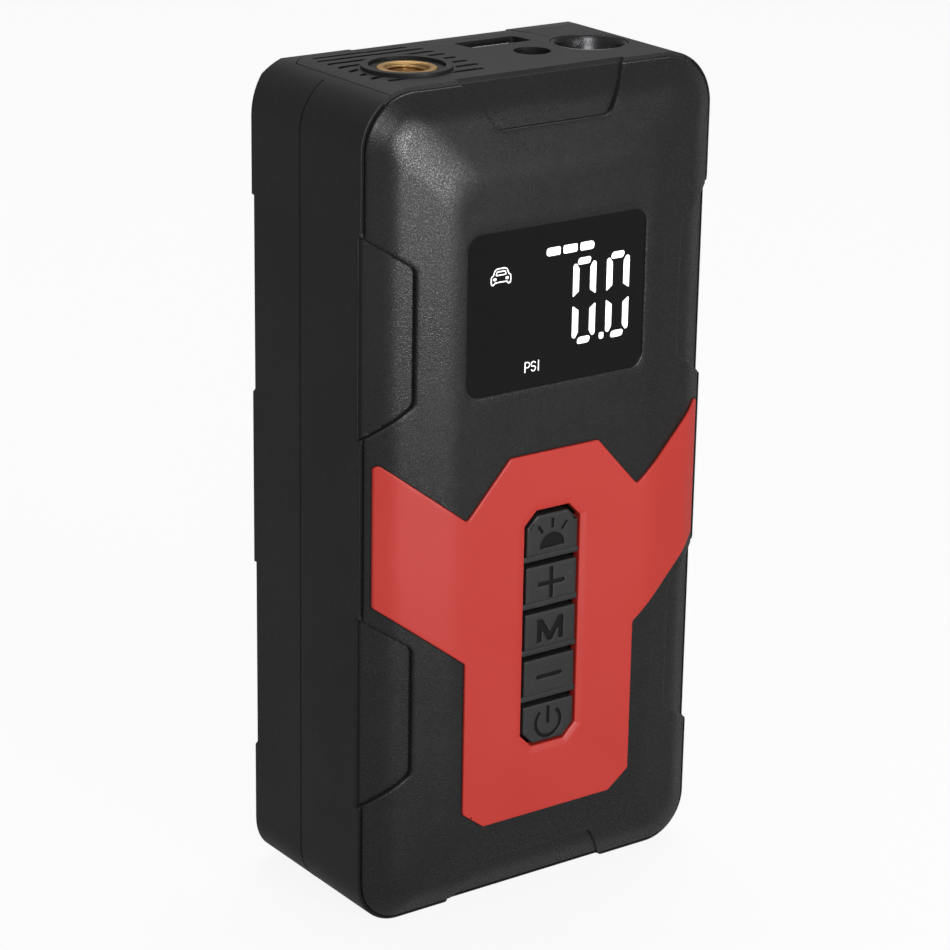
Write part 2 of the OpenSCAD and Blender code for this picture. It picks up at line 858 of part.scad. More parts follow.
module keypad_board() {
    color("#1d6b3a") difference() {
        box([-post_out - 3, front_y + pad_front, key_z(0) - 5],
            [post_out + 3, front_y + board_back, key_z(4) + 5]);
        key_posts(pad_screw_r + screw_gap, front_y + pad_front - 1, front_y + board_back + 1);
    }
}

module keypad_screws() {
    top = front_y + board_back;
    color("silver") {
        key_posts(pad_screw_r, front_y + pad_front - 3.5, top + eps);
        key_posts(2*pad_screw_r - 0.1, top, top + pad_screw_t);
    }
}

// Grille slots, each with round ends; the first and the last are shorter
module grille_slots() {
    x0 = grille_side - end_w;
    x1 = usb_x - usb_w/2 - grille_to_usb;
    first_y = end_front_y + grille_front;
    pitch = (end_rear_y - grille_back - first_y)/(grille_count - 1);
    for (i = [0:grille_count - 1]) {
        shorter = (i == 0 || i == grille_count - 1) ? 3 : 0;
        translate([(x0 + x1)/2, first_y + pitch*i])
            round_rect(x1 - x0 - shorter, grille_slot, grille_slot/2 - eps);
    }
}

module top_panel() {
    flange = 1.5;
    color("#343436") difference() {
        union() {
            intersection() {
                difference() {
                    recessed_block();
                    case_block(wall);
                }
                along_z(inner_top - crown_drop - 1, body_h + 1) end_plan();
            }
            difference() {
                intersection() {
                    case_block(wall);
                    along_z(inner_top - crown_drop - 3, body_h) end_plan(flange);
                    box([-half_w, cover_y + seat_gap, 0], [half_w, rear_y, body_h]);
                }
                case_block(wall + flange);
            }
            rod_z(outlet_x, outlet_y, inner_top - outlet_sleeve, body_h + collar_h, collar_r);
            rod_z(dc_x, dc_y, inner_top - 2.5, body_h - 0.5, dc_r + 2);
        }
        along_z(inner_top - crown_drop - 5, body_h + 1) difference() {
            grille_slots();
            translate([outlet_x, outlet_y]) circle(collar_r + 0.6);
        }
        rod_z(outlet_x, outlet_y, inner_top - outlet_sleeve - 1, body_h + 2, outlet_r + thread_gap);
        rod_z(outlet_x, outlet_y, body_h, body_h + 2, collar_in);
        rod_z(dc_x, dc_y, inner_top - 3, body_h + 1, dc_r);
        rod_z(torch_x, torch_y, inner_top - 3, body_h + 1, torch_r + thread_gap);
        along_z(inner_top - 4, body_h + 1) translate([usb_x, usb_y])
            square([usb_w + 0.2, usb_t + 0.2], center = true);
        along_z(usb_top, body_h + 1) translate([usb_x + 0.4, usb_y])
            round_rect(usb_w + 2.6, usb_t + 1.6, 1.2);
    }
}

module air_outlet() {
    color("#d9a860") difference() {
        union() {
            rod_z(outlet_x, outlet_y, fitting_low, outlet_top, outlet_r);
            rod_z(outlet_x, outlet_y, fitting_low, inner_top - outlet_sleeve, collar_r - 1.2);
            rod_z(outlet_x, outlet_y, fitting_low - 4, fitting_low + eps, nipple_r);
        }
        rod_z(outlet_x, outlet_y, outlet_top - outlet_depth, outlet_top + 1, outlet_bore);
        rod_z(outlet_x, outlet_y, fitting_low - 5, outlet_top, air_r);
    }
}

module outlet_hose() {
    color("#202020") difference() {
        rod_z(outlet_x, outlet_y, cylinder_high + head_t, fitting_low, nipple_r + thread_gap + hose_t);
        rod_z(outlet_x, outlet_y, cylinder_high, fitting_low + 1, nipple_r + thread_gap);
    }
}

module usb_socket() {
    inner = [usb_w - 2*usb_wall, usb_t - 2*usb_wall];
    color("silver") difference() {
        along_z(port_z, usb_top) translate([usb_x, usb_y]) square([usb_w, usb_t], center = true);
        along_z(port_z + usb_wall, usb_top + 1) translate([usb_x, usb_y]) square(inner, center = true);
    }
}

module usb_tongue() {
    half = usb_w/2 - 0.8;
    color("white")
        box([usb_x - half, usb_y + 0.3, port_z + usb_wall], [usb_x + half, usb_y + 2, usb_top - 0.8]);
}

module dc_socket() {
    half = dc_r + 0.5;
    color("#1b1b1b") difference() {
        union() {
            rod_z(dc_x, dc_y, port_z, body_h - 2.2, dc_r - 0.1);
            box([dc_x - half, dc_y - half, port_z], [dc_x + half, dc_y + half, inner_top - 2.6]);
        }
        rod_z(dc_x, dc_y, body_h - dc_depth, body_h, dc_bore);
    }
}

module dc_pin() {
    color("silver") rod_z(dc_x, dc_y, body_h - dc_depth, body_h - 3.4, dc_bore - 1.75);
}

module torch_reflector() {
    low = body_h - torch_depth;
    color("#d8d8da") translate([torch_x, torch_y, 0]) rotate_extrude() polygon([
        [torch_r - 5.8, low], [torch_r - 0.4, low], [torch_r, low + 0.4], [torch_r, body_h - 0.2],
        [torch_r - 0.5, body_h], [torch_r - 0.9, body_h - 0.4], [torch_r - 1.6, body_h - 3],
        [torch_r - 2.8, body_h - 5.5], [torch_r - 5.8, low + 1]
    ]);
}

module torch_lens() {
    z = body_h - 4.6;
    r = torch_r - 2.2;
    color("#eef4ff") translate([torch_x, torch_y, 0]) rotate_extrude() polygon([
        [0, z], [r - 0.3, z], [r, z + 0.6], [r, z + 1], [r - 1.6, z + 1.6], [r - 3.8, z + 2], [0, z + 2.1]
    ]);
}

module torch_led() {
    low = body_h - torch_depth;
    color("#f4e28a") {
        rod_z(torch_x, torch_y, low - board_t, low, torch_r - 0.6);
        rod_z(torch_x, torch_y, low - eps, low + 1.4, torch_r - 6.2);
    }
}

module port_board() {
    half = usb_w/2 + 1.5;
    color("#1d6b3a") box([usb_x - half, dc_y - dc_r - 2, port_z - board_t],
        [usb_x + half, usb_y + usb_t/2 + 2, port_z]);
}

module jump_socket() {
    x0 = half_w - wall - boss_t - jump_len;
    seat_x = half_w - wall - boss_t;
    mouth_x = half_w - boss_t - jump_mouth;
    out = [jump_t/2, jump_w/2];
    mid = [jump_y, jump_z];
    in = out - [jump_wall, jump_wall];
    rim = out + [jump_flange, jump_flange];
    color("#1f3f8f") difference() {
        union() {
            box(concat(x0, mid - out), concat(half_w - boss_t - 0.1, mid + out));
            box(concat(seat_x - 1.6, mid - rim), concat(seat_x, mid + rim));
        }
        box(concat(mouth_x, mid - in), concat(half_w, mid + in));
        for (s = [-1, 1]) rod_x(jump_y, jump_z + s*contact_at, x0 - 1, mouth_x + 1, contact_r + thread_gap);
    }
}

module jump_contacts() {
    x0 = half_w - wall - boss_t - jump_len - 5;
    color("#d4af37") for (s = [-1, 1])
        rod_x(jump_y, jump_z + s*contact_at, x0, half_w - boss_t - 5.5, contact_r);
}

module socket_cover() {
    low = jump_z - flap_h/2;
    color("#232325") difference() {
        union() {
            box([flap_x, jump_y - flap_w/2, low], [flap_x + flap_t, jump_y + flap_w/2, flap_pin_z]);
            rod_y(pin_x, flap_pin_z, jump_y - flap_w/2, jump_y + flap_w/2, knuckle_r);
        }
        rod_y(pin_x, flap_pin_z, jump_y - flap_w, jump_y + flap_w, flap_pin_r + run_fit);
    }
}

module cover_pin() {
    color("silver") rod_y(pin_x, flap_pin_z, jump_y - pin_reach, jump_y + pin_reach, flap_pin_r);
}

// Rods along Y at the four screws of the main board
module board_rods(y0, y1, r) {
    for (s = [-1, 1], z = [board_low + board_hole, board_high - board_hole])
        rod_y(s*(board_half - board_hole), z, y0, y1, r);
}

module battery_tray() {
    color("#505054") difference() {
        union() {
            box([-tray_half, tray_front, wall], [tray_half, tray_back + tray_wall, tray_high]);
            board_rods(tray_back, board_y, stand_r);
        }
        box([-tray_half + tray_wall, tray_front - 1, cell_low],
            [tray_half - tray_wall, tray_back, tray_high - tray_wall]);
        board_rods(tray_back + 0.4, board_y + 1, board_screw_r + thread_gap);
    }
}

module battery_cell(i) {
    y0 = tray_back - (i + 1)*cell_t - i*seat_gap;
    mid_y = y0 + cell_t/2;
    seal = 0.45;
    seal_low = cell_low + cell_h - 3;
    color("#9aa4ac") {
        box([-cell_w/2, y0, cell_low], [cell_w/2, y0 + cell_t, seal_low]);
        box([-cell_w/2, mid_y - seal, seal_low - eps], [cell_w/2, mid_y + seal, cell_low + cell_h]);
    }
}

module main_board() {
    color("#1d6b3a") difference() {
        box([-board_half, board_y, board_low], [board_half, board_y + board_t, board_high]);
        board_rods(board_y - 1, board_y + board_t + 1, board_screw_r + screw_gap);
    }
}

module power_relay() {
    y = board_y + board_t;
    depth = rear_y - wall - y - seat_gap;
    high = board_high - relay_drop;
    color("#2a4fa0") box([relay_x, y, high - relay_h], [relay_x + relay_w, y + depth, high]);
}

module capacitors() {
    y = board_y + board_t;
    depth = rear_y - wall - y - seat_gap;
    color("#3b3b6b") for (i = [0:2]) {
        rod_y(capacitor_x + capacitor_pitch*i, board_high - 20, y, y + depth, capacitor_r);
        rod_y(capacitor_x + capacitor_pitch*i, board_high - 38, y, y + depth - 1, capacitor_r - 0.4);
    }
}

module board_screws() {
    top = board_y + board_t;
    color("silver") {
        board_rods(board_y - 1.8, top + eps, board_screw_r);
        board_rods(top, top + 1.2, 2*board_screw_r);
    }
}

module motor() {
    x0 = frame_x + frame_t;
    x1 = x0 + motor_len;
    color("#a7abaf") {
        rod_x(comp_y, motor_z, x0, x1, motor_r);
        rod_x(comp_y, motor_z, x1 - eps, x1 + 1.6, motor_r - 9);
        for (s = [-1, 1]) translate([0, comp_y + s*(motor_r - 5), motor_z])
            box([x1 - eps, -1.4, -0.4], [x1 + 4, 1.4, 0.4]);
    }
}

module motor_shaft() {
    color("silver") rod_x(comp_y, motor_z, gear_x - gear_t - 1.2, frame_x + frame_t - seat_gap, shaft_r);
}

// A gear outline with straight flanks, its first tooth pointing along the first axis
module gear_outline(teeth) {
    pitch_r = tooth_module*teeth/2;
    root_r = pitch_r - 1.25*tooth_module;
    tip_r = pitch_r + tooth_out;
    step = 360/teeth;
    root_half = 0.30*step;
    tip_half = 0.10*step;
    polygon([for (i = [0:teeth - 1], k = [0:3]) let (
        r = (k == 1 || k == 2) ? tip_r : root_r,
        a = i*step + [-root_half, -tip_half, tip_half, root_half][k]
    ) r*[cos(a), sin(a)]]);
}

module motor_pinion() {
    color("#c9b26b") difference() {
        along_x(gear_x - gear_t - 0.4, gear_x + 0.2) translate([comp_y, motor_z]) gear_outline(pinion_teeth);
        rod_x(comp_y, motor_z, gear_x - gear_t - 1, gear_x + 1, shaft_r);
    }
}

module compressor_frame() {
    color("#7d8286") difference() {
        union() {
            box([frame_x, comp_y - motor_r, motor_z - motor_r], [frame_x + frame_t, rib_y, cylinder_low]);
            box([comp_x - head_half, comp_y - head_half, shelf_z],
                [frame_x + eps, comp_y + head_half, cylinder_low]);
            rod_x(comp_y, crank_z, gear_x + seat_gap, frame_x + eps, 2*axle_r);
        }
        rod_x(comp_y, motor_z, frame_x - 1, frame_x + frame_t + 1, shaft_r + 2);
        rod_x(comp_y, crank_z, gear_x - 1, frame_x + frame_t + 1, axle_r + thread_gap);
        rod_z(comp_x, comp_y, shelf_z - 1, shelf_z + frame_t + 1, bore_r + 0.4);
        at_ties() rod_z(0, 0, shelf_z - 1, shelf_z + frame_t + 1, tie_r + thread_gap);
    }
}

module crank_axle() {
    color("silver") rod_x(comp_y, crank_z, gear_x - gear_t, frame_x + frame_t, axle_r);
}

module crank_gear() {
    hole_at = tooth_module*gear_teeth/2 - 5.4;
    color("#e6e2d6") difference() {
        along_x(gear_x - gear_t, gear_x) translate([comp_y, crank_z]) gear_outline(gear_teeth);
        rod_x(comp_y, crank_z, gear_x - gear_t - 1, gear_x + 1, axle_r + run_fit);
        for (a = [0:60:300])
            rod_x(comp_y + hole_at*cos(a), crank_z + hole_at*sin(a),
                gear_x - gear_t - 1, gear_x + 1, hole_at/3);
    }
}

module crank_pin() {
    color("silver")
        rod_x(comp_y, crank_z - crank_r, comp_x - rod_t/2 - 0.6, gear_x - gear_t - seat_gap, pin_r);
}

module piston_rod() {
    low = crank_z - crank_r;
    color("#d0d0cc") difference() {
        union() {
            rod_x(comp_y, low, comp_x - rod_t/2, comp_x + rod_t/2, rod_eye_r);
            box([comp_x - rod_t/2, comp_y - rod_eye_r + 1.8, low],
                [comp_x + rod_t/2, comp_y + rod_eye_r - 1.8, crown_low_z - 1]);
            rod_z(comp_x, comp_y, crown_low_z - piston_t, crown_low_z - seal_t, bore_r - 0.5);
            rod_z(comp_x, comp_y, crown_low_z - piston_t, crown_low_z, bore_r - seal_w);
        }
        rod_x(comp_y, low, comp_x - rod_t, comp_x + rod_t, pin_r + 0.02);
    }
}

module piston_seal() {
    color("#1a1a1a") difference() {
        rod_z(comp_x, comp_y, crown_low_z - seal_t, crown_low_z, bore_r - run_fit);
        rod_z(comp_x, comp_y, crown_low_z - seal_t - 1, crown_low_z + 1, bore_r - seal_w);
    }
}

module cylinder_barrel() {
    color("#b9bdc1") difference() {
        rod_z(comp_x, comp_y, cylinder_low, cylinder_high, bore_r + cylinder_t);
        rod_z(comp_x, comp_y, cylinder_low - 1, cylinder_high + 1, bore_r);
    }
}

// The four tie screws stand round the cylinder
module at_ties() {
    for (sx = [-1, 1], sy = [-1, 1]) translate([comp_x + sx*tie_at, comp_y + sy*tie_at, 0]) children();
}

module cylinder_head() {
    top = cylinder_high + head_t;
    color("#8f9498") difference() {
        union() {
            box([comp_x - head_half, comp_y - head_half, cylinder_high],
                [comp_x + head_half, comp_y + head_half, top]);
            rod_z(outlet_x, outlet_y, top - eps, top + 3.4, nipple_r);
        }
        at_ties() rod_z(0, 0, cylinder_high - 1, top + 1, tie_r + screw_gap);
        rod_z(outlet_x, outlet_y, cylinder_high + 2, top + 4, air_r);
    }
}

module tie_screws() {
    top = cylinder_high + head_t;
    color("silver") at_ties() {
        rod_z(0, 0, shelf_z, top + eps, tie_r);
        rod_z(0, 0, top, top + 1.6, 2);
    }
}

module case_screws() {
    seat = seam_y + head_seat;
    color("#3a3a3a") at_posts() {
        rod_y(0, 0, seam_y - thread_depth + 2, seat + eps, screw_r);
        difference() {
            rod_y(0, 0, seat, seat + 2, screw_head_r);
            box([-1.6, seat + 1, -0.3], [1.6, seat + 3, 0.3]);
            box([-0.3, seat + 1, -1.6], [0.3, seat + 3, 1.6]);
        }
    }
}

front_cover();
front_shell();
rear_shell();
accent_panel();
display_window();
display_digits();
display_module();
key(4);  // light_key
key(3);  // plus_key
key(2);  // mode_key
key(1);  // minus_key
key(0);  // power_key
plunger(4);  // light_plunger
plunger(3);  // plus_plunger
plunger(2);  // mode_plunger
plunger(1);  // minus_plunger
plunger(0);  // power_plunger
key_switches();
keypad_board();
keypad_screws();
top_panel();
air_outlet();
outlet_hose();
usb_socket();
usb_tongue();
dc_socket();
dc_pin();
torch_reflector();
torch_lens();
torch_led();
port_board();
jump_socket();
jump_contacts();
socket_cover();
cover_pin();
battery_tray();
battery_cell(0);  // battery_cell_1
battery_cell(1);  // battery_cell_2
battery_cell(2);  // battery_cell_3
main_board();
power_relay();
capacitors();
board_screws();
motor();
motor_shaft();
motor_pinion();
compressor_frame();
crank_axle();
crank_gear();
crank_pin();
piston_rod();
piston_seal();
cylinder_barrel();  // cylinder
cylinder_head();
tie_screws();
case_screws();
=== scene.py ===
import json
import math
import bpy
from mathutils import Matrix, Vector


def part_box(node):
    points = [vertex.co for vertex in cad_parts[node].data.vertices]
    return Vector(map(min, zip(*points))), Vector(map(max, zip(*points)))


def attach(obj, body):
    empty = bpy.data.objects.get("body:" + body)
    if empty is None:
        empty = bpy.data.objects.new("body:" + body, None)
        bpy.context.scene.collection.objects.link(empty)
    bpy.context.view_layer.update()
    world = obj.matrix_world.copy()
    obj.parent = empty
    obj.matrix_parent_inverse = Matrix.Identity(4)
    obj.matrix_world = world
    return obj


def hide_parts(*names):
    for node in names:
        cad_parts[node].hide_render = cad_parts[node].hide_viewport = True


bl_info = {
    "name": "Jump Starter Pack",
    "version": (1, 0, 0),
    "blender": (4, 5, 0),
    "location": "3D View > Sidebar > Jump Pack",
    "description": "Dresses a jump starter pack with a built-in tyre compressor",
    "category": "Object",
}

import bmesh
import bpy
import numpy as np
from bpy.props import FloatProperty, FloatVectorProperty, PointerProperty
from mathutils import Matrix, Vector
from mathutils.geometry import delaunay_2d_cdt

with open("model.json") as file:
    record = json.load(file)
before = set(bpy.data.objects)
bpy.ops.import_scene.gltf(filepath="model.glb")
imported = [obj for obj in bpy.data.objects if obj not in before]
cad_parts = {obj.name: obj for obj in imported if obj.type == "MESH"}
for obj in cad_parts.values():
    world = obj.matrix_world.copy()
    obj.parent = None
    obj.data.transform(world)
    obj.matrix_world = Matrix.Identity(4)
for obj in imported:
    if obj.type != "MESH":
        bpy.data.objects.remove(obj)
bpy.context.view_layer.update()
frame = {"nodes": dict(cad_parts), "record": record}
MM = 0.001


def node_box(name):
    """Lowest and highest corner of a CAD node, in millimetres."""
    low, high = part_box(name)
    return np.array(low)/MM, np.array(high)/MM


COVER_LOW, COVER_HIGH = node_box("front_cover")
FRONT_Y, COVER_Y = COVER_LOW[1], COVER_HIGH[1]
HALF_W, HEIGHT = COVER_HIGH[0], COVER_HIGH[2]


# ---------------------------------------------------------------- settings

def length(name, about, default):
    """A size in millimetres as a property."""
    return FloatProperty(name=name, description=about + ", in millimetres", default=default, min=0.0, precision=3)


def colour(name, about, default):
    """A colour as a property, in scene linear values."""
    return FloatVectorProperty(name=name, description=about, default=default, subtype="COLOR", size=3, min=0.0, max=1.0)


def angle(name, about, default):
    """An angle in radians as a property."""
    return FloatProperty(name=name, description=about, default=default, subtype="ANGLE")


def amount(name, about, default):
    """A number of no unit, or one that its text names, as a property."""
    return FloatProperty(name=name, description=about, default=default, min=0.0)


class PackCase(bpy.types.PropertyGroup):
    front_drop: length("Front drop", "Fall of the whole front slope", 6.9)
    front_slope: length("Front slope", "Width of the sloping band round the front", 18.4)
    edge_band: length("Edge band", "Width of the steeper band at the edge of the front", 6.0)
    edge_drop: length("Edge drop", "Fall of the steeper band", 3.8)
    slope_blend: length("Slope blend", "Width over which the slope turns into the flat front", 5.0)
    band_blend: length("Band blend", "Width over which the steeper band turns into the slope", 3.4)
    top_r: length("Top corner", "Radius of the upper corners", 12.5)
    base_r: length("Base corner", "Radius of the lower corners", 10.5)
    inner_r: length("Inner corner", "Smallest radius of the contours inside a corner", 8.0)
    wall: length("Wall", "Thickness of the cover", 2.4)
    rim_gap: length("Rim gap", "Width of the shell's edge that shows beside the cover", 0.95)
    bead_w: length("Bead", "Width of the shell's rounded edge outside the groove round the cover", 0.34)
    # the seam is drawn as a near-black strip, painted shade of its groove
    seam_back: length("Seam", "Distance from the flat back to the seam between the shells", 23.1)
    seam_w: length("Seam width", "Width of that seam", 0.3)
    recess_depth: length("Recess depth", "Depth of the grip recesses", 1.4)
    recess_w: length("Recess width", "Width of a side recess", 10.6)
    recess_h: length("Recess height", "Height of a side recess at the side wall", 43.8)
    recess_taper: length("Recess taper", "How much a side recess narrows at each end", 7.4)
    end_recess_w: length("End recess width", "Half width of an end recess at the rim", 21.4)
    end_recess_h: length("End recess height", "Height of an end recess", 10.3)
    recess_corner: length("Recess corner", "Radius of the inner corners of the recesses", 2.4)
    edge_r: length("Cover edge", "Rounding of the cover's edges", 0.32)


class PackPanel(bpy.types.PropertyGroup):
    proud: length("Proud", "How far the accent panel stands above the cover", 0.6)
    edge_r: length("Panel edge", "Rounding of the panel's outer edge", 0.28)
    slot_edge_r: length("Slot edge", "Rounding of the edge of the key slot", 0.16)
    border_w: length("Slot border", "Width of the shallow border round the key slot", 1.5)
    border_drop: length("Border fall", "Fall of that border towards the slot", 0.36)
    corner_r: length("Panel corner", "Rounding of the panel's corners", 0.9)
    # the dark joint is a near-black band, painted shade at the panel's foot
    gap: length("Panel gap", "Width of the dark joint round the panel", 0.22)


class PackKeys(bpy.types.PropertyGroup):
    gap: length("Key gap", "Gap between the slot and a key's ledge", 0.12)
    face_gap: length("Face gap", "Gap between the slot and the sides of a key's raised face", 0.68)
    lift: length("Lift", "How far the raised face stands above its plain solid", 0.45)
    ledge_h: length("Ledge height", "Height of the ledge below a key's raised face", 1.25)
    ledge_set: length("Ledge depth", "How far the ledge lies behind the raised face", 0.3)
    cap_r: length("Key edge", "Rounding of the edge of a key", 0.3)
    mark_depth: length("Mark depth", "Depth of the marks in the keys", 0.34)
    mark_edge: length("Mark edge", "Rounding of the edges of the marks", 0.1)
    mark_stroke: length("Mark stroke", "Width of the lines of the marks", 0.9)


class PackDisplay(bpy.types.PropertyGroup):
    sunk: length("Window depth", "How far the window lies under the cover", 0.3)
    stroke: length("Digit stroke", "Width of a lit segment", 1.57)


class PackTop(bpy.types.PropertyGroup):
    thread_pitch: length("Thread pitch", "Pitch of the thread in the air outlet", 1.0)
    thread_depth: length("Thread depth", "Depth of the thread in the air outlet", 0.45)
    shell_edge: length("Shell edge", "Rounding of the shells' sharp edges", 0.4)
    panel_edge: length("End panel edge", "Rounding of the end panel's sharp edges", 0.22)
    flap_edge: length("Flap edge", "Rounding of the rubber flap's edges", 0.35)


class PackFinish(bpy.types.PropertyGroup):
    shell: colour("Shell", "Smooth plastic of the shells", (0.0075, 0.0078, 0.008))
    cover: colour("Cover", "Textured plastic of the front cover", (0.0075, 0.0077, 0.008))
    accent: colour("Accent", "Accent panel", (0.455, 0.026, 0.018))
    key: colour("Key", "Plastic of the keys", (0.0175, 0.018, 0.018))
    panel: colour("End panel", "Plastic of the end panel", (0.0135, 0.0138, 0.014))
    window: colour("Window", "Polished display window", (0.0035, 0.0035, 0.0038))
    lit: colour("Segments", "Lit segments of the display", (1.0, 1.0, 1.0))
    brass: colour("Brass", "Threaded air outlet", (0.5, 0.31, 0.13))


class PackStage(bpy.types.PropertyGroup):
    lens: amount("Lens", "Focal length of the camera, in millimetres", 122.13)
    turn: angle("Turn", "Camera's turn round the pack", 0.625)
    rise: angle("Rise", "Camera's height angle", 0.337)
    roll: angle("Roll", "Camera's roll", 0.017)
    place: FloatVectorProperty(name="Camera place", description="Place of the camera in metres", subtype="TRANSLATION",
                               unit="LENGTH", default=(-0.3923, -0.54125, 0.3244), size=3)
    fill_level: amount("Fill level", "Light of the room on the pack", 0.18)
    gloss_level: amount("Gloss level", "Brightness of the room in reflections", 0.27)


# ---------------------------------------------------------------- meshes

def settle(piece, body, slot, *replaces):
    """Gives a finished piece its slot's material, the body that it rides on and the nodes that it stands for."""
    piece.data.materials.append(finish_for(slot))
    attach(piece, body)
    if replaces:
        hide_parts(*replaces)


def shaded(work, mesh, sharp):
    """Writes an edited mesh back and makes it an object, with smooth shading up to an angle in degrees."""
    work.to_mesh(mesh)
    work.free()
    mesh.shade_smooth()
    mesh.set_sharp_from_angle(angle=math.radians(sharp))
    piece = bpy.data.objects.new(mesh.name, mesh)
    bpy.context.scene.collection.objects.link(piece)
    return piece


def editable(name, points, faces):
    """A new mesh from points in metres and faces, with its editable copy."""
    mesh = bpy.data.meshes.new(name)
    mesh.from_pydata(points.tolist(), [], faces)
    work = bmesh.new()
    work.from_mesh(mesh)
    return work, mesh


def make_piece(name, parts, body, slot, *replaces, sharp=35.0):
    """A piece from several (points in millimetres, faces), with outward normals."""
    points, faces = joined(parts)
    work, mesh = editable(name, points*MM, faces)
    bmesh.ops.delete(work, geom=[v for v in work.verts if not v.link_faces], context="VERTS")
    bmesh.ops.recalc_face_normals(work, faces=work.faces)
    settle(shaded(work, mesh, sharp), body, slot, *replaces)


def joined(parts):
    """Several (points, faces) as one, with the later faces' numbers moved on."""
    points, faces, start = [], [], 0
    for some, quads in parts:
        points.append(some)
        faces += [[i + start for i in f] for f in quads]
        start += len(some)
    return np.concatenate(points), faces


def grid_faces(rows, cols, closed=False):
    """Quads of closed rings of points, numbered ring by ring; closed joins the last ring to the first."""
    i, j = np.meshgrid(np.arange(rows - (not closed)), np.arange(cols), indexing="ij")
    a, b = i*cols + j, i*cols + (j + 1) % cols
    c, d = (i + 1) % rows*cols + (j + 1) % cols, (i + 1) % rows*cols + j
    return np.stack([a, b, c, d], -1).reshape(-1, 4).tolist()


def smooth_loop(corners, step=0.8):
    """A closed outline in X and Z. Each corner (x, z, r) becomes an arc of radius r that touches both its sides,
    worked out as sin((1 - s)T)/sin T of one radius arrow and sin(sT)/sin T of the other over the turn T. The straight
    stretches are then divided into equal steps, and the loop runs anticlockwise."""
    spots, pieces = np.array([c[:2] for c in corners], float), []
    least_r, least_turn, small_r, chord = 1e-6, 1e-3, 0.6, 0.45
    for i, (*_, r) in enumerate(corners):
        here = spots[i]
        back, on = spots[i - 1] - here, spots[(i + 1) % len(spots)] - here
        back, on = back/np.linalg.norm(back), on/np.linalg.norm(on)
        half = math.acos(np.clip(back @ on, -1, 1))/2
        turn = math.pi - 2*half
        if r < least_r or turn < least_turn:
            pieces.append(here[None])
            continue
        middle = here + (back + on)/np.linalg.norm(back + on)*r/math.sin(half)
        first, last = here + back*r/math.tan(half) - middle, here + on*r/math.tan(half) - middle
        s = np.linspace(0, 1, max(3, int(turn*max(r, small_r)/chord) + 2))[:, None]
        pieces.append(middle + (np.sin((1 - s)*turn)*first + np.sin(s*turn)*last)/math.sin(turn))
    loop = np.concatenate(pieces)
    gap = np.roll(loop, -1, 0) - loop
    count = np.maximum(1, np.ceil(np.hypot(*gap.T)/step)).astype(int)
    number = np.repeat(np.arange(len(loop)), count)
    share = (np.arange(len(number)) - np.repeat(np.cumsum(count) - count, count))/count[number]
    loop = loop[number] + gap[number]*share[:, None]
    return anticlockwise(loop)


def area(loop):
    """Signed area of a closed outline: half the sum of the cross products of neighbours."""
    after = np.roll(loop, -1, 0)
    return 0.5*np.sum(loop[:, 0]*after[:, 1] - loop[:, 1]*after[:, 0])


def anticlockwise(loop):
    """The outline in anticlockwise order."""
    return loop if area(loop) > 0 else loop[::-1]


def drawn_in(loop, t):
    """A closed outline moved to its left by t: each point goes t(m + n)/(1 + m.n), with m and n the left normals of
    its two sides."""
    side = np.roll(loop, -1, 0) - loop
    side /= np.linalg.norm(side, axis=1, keepdims=True) + 1e-12
    n = np.stack([-side[:, 1], side[:, 0]], -1)
    m, sharpest = np.roll(n, 1, 0), 0.35
    return loop + t*(m + n)/np.maximum(1 + np.sum(m*n, 1, keepdims=True), sharpest)


MOST_PAIRS = 4000000  # compared at a time


def inside(spots, loops):
    """Which points lie inside an odd number of outlines, by counting the sides that a ray to the right crosses."""
    odd = np.zeros(len(spots), bool)
    x, z = spots[:, 0:1], spots[:, 1:2]
    for loop in loops:
        a, b = loop, np.roll(loop, -1, 0)
        for part in np.array_split(np.arange(len(spots)), max(1, len(spots)*len(loop)//MOST_PAIRS)):
            px, pz = x[part], z[part]
            cross = (a[:, 1] > pz) != (b[:, 1] > pz)
            at = a[:, 0] + (pz - a[:, 1])*(b[:, 0] - a[:, 0])/np.where(b[:, 1] == a[:, 1], 1e-9, b[:, 1] - a[:, 1])
            odd[part] ^= np.sum(cross & (px < at), 1) % 2 == 1
    return odd


def clear_of(spots, loops, gap):
    """Which points are further than gap from every point of the outlines."""
    marks = np.concatenate(loops)
    free = np.ones(len(spots), bool)
    for part in np.array_split(np.arange(len(spots)), max(1, len(spots)*len(marks)//MOST_PAIRS)):
        off = spots[part][:, None] - marks[None]
        free[part] = np.min(np.sum(off*off, -1), 1) > gap*gap
    return free


def scatter(low, high, step):
    """Points of a triangular grid over a rectangle: every second row is moved on by half a step."""
    row_share = 0.866
    rows = np.arange(low[1], high[1], step*row_share)
    cols = np.arange(low[0], high[0], step)
    x, z = np.meshgrid(cols, rows)
    x = x + np.where(np.arange(len(rows)) % 2, step/2, 0)[:, None]
    return np.stack([x.ravel(), z.ravel()], -1)


def laid(spots, face, fall=0.0):
    """Points (x, z) put on a face that gives Y from x and z, with fall added."""
    return np.column_stack([spots[:, 0], face(spots[:, 0], spots[:, 1]) + fall, spots[:, 1]])


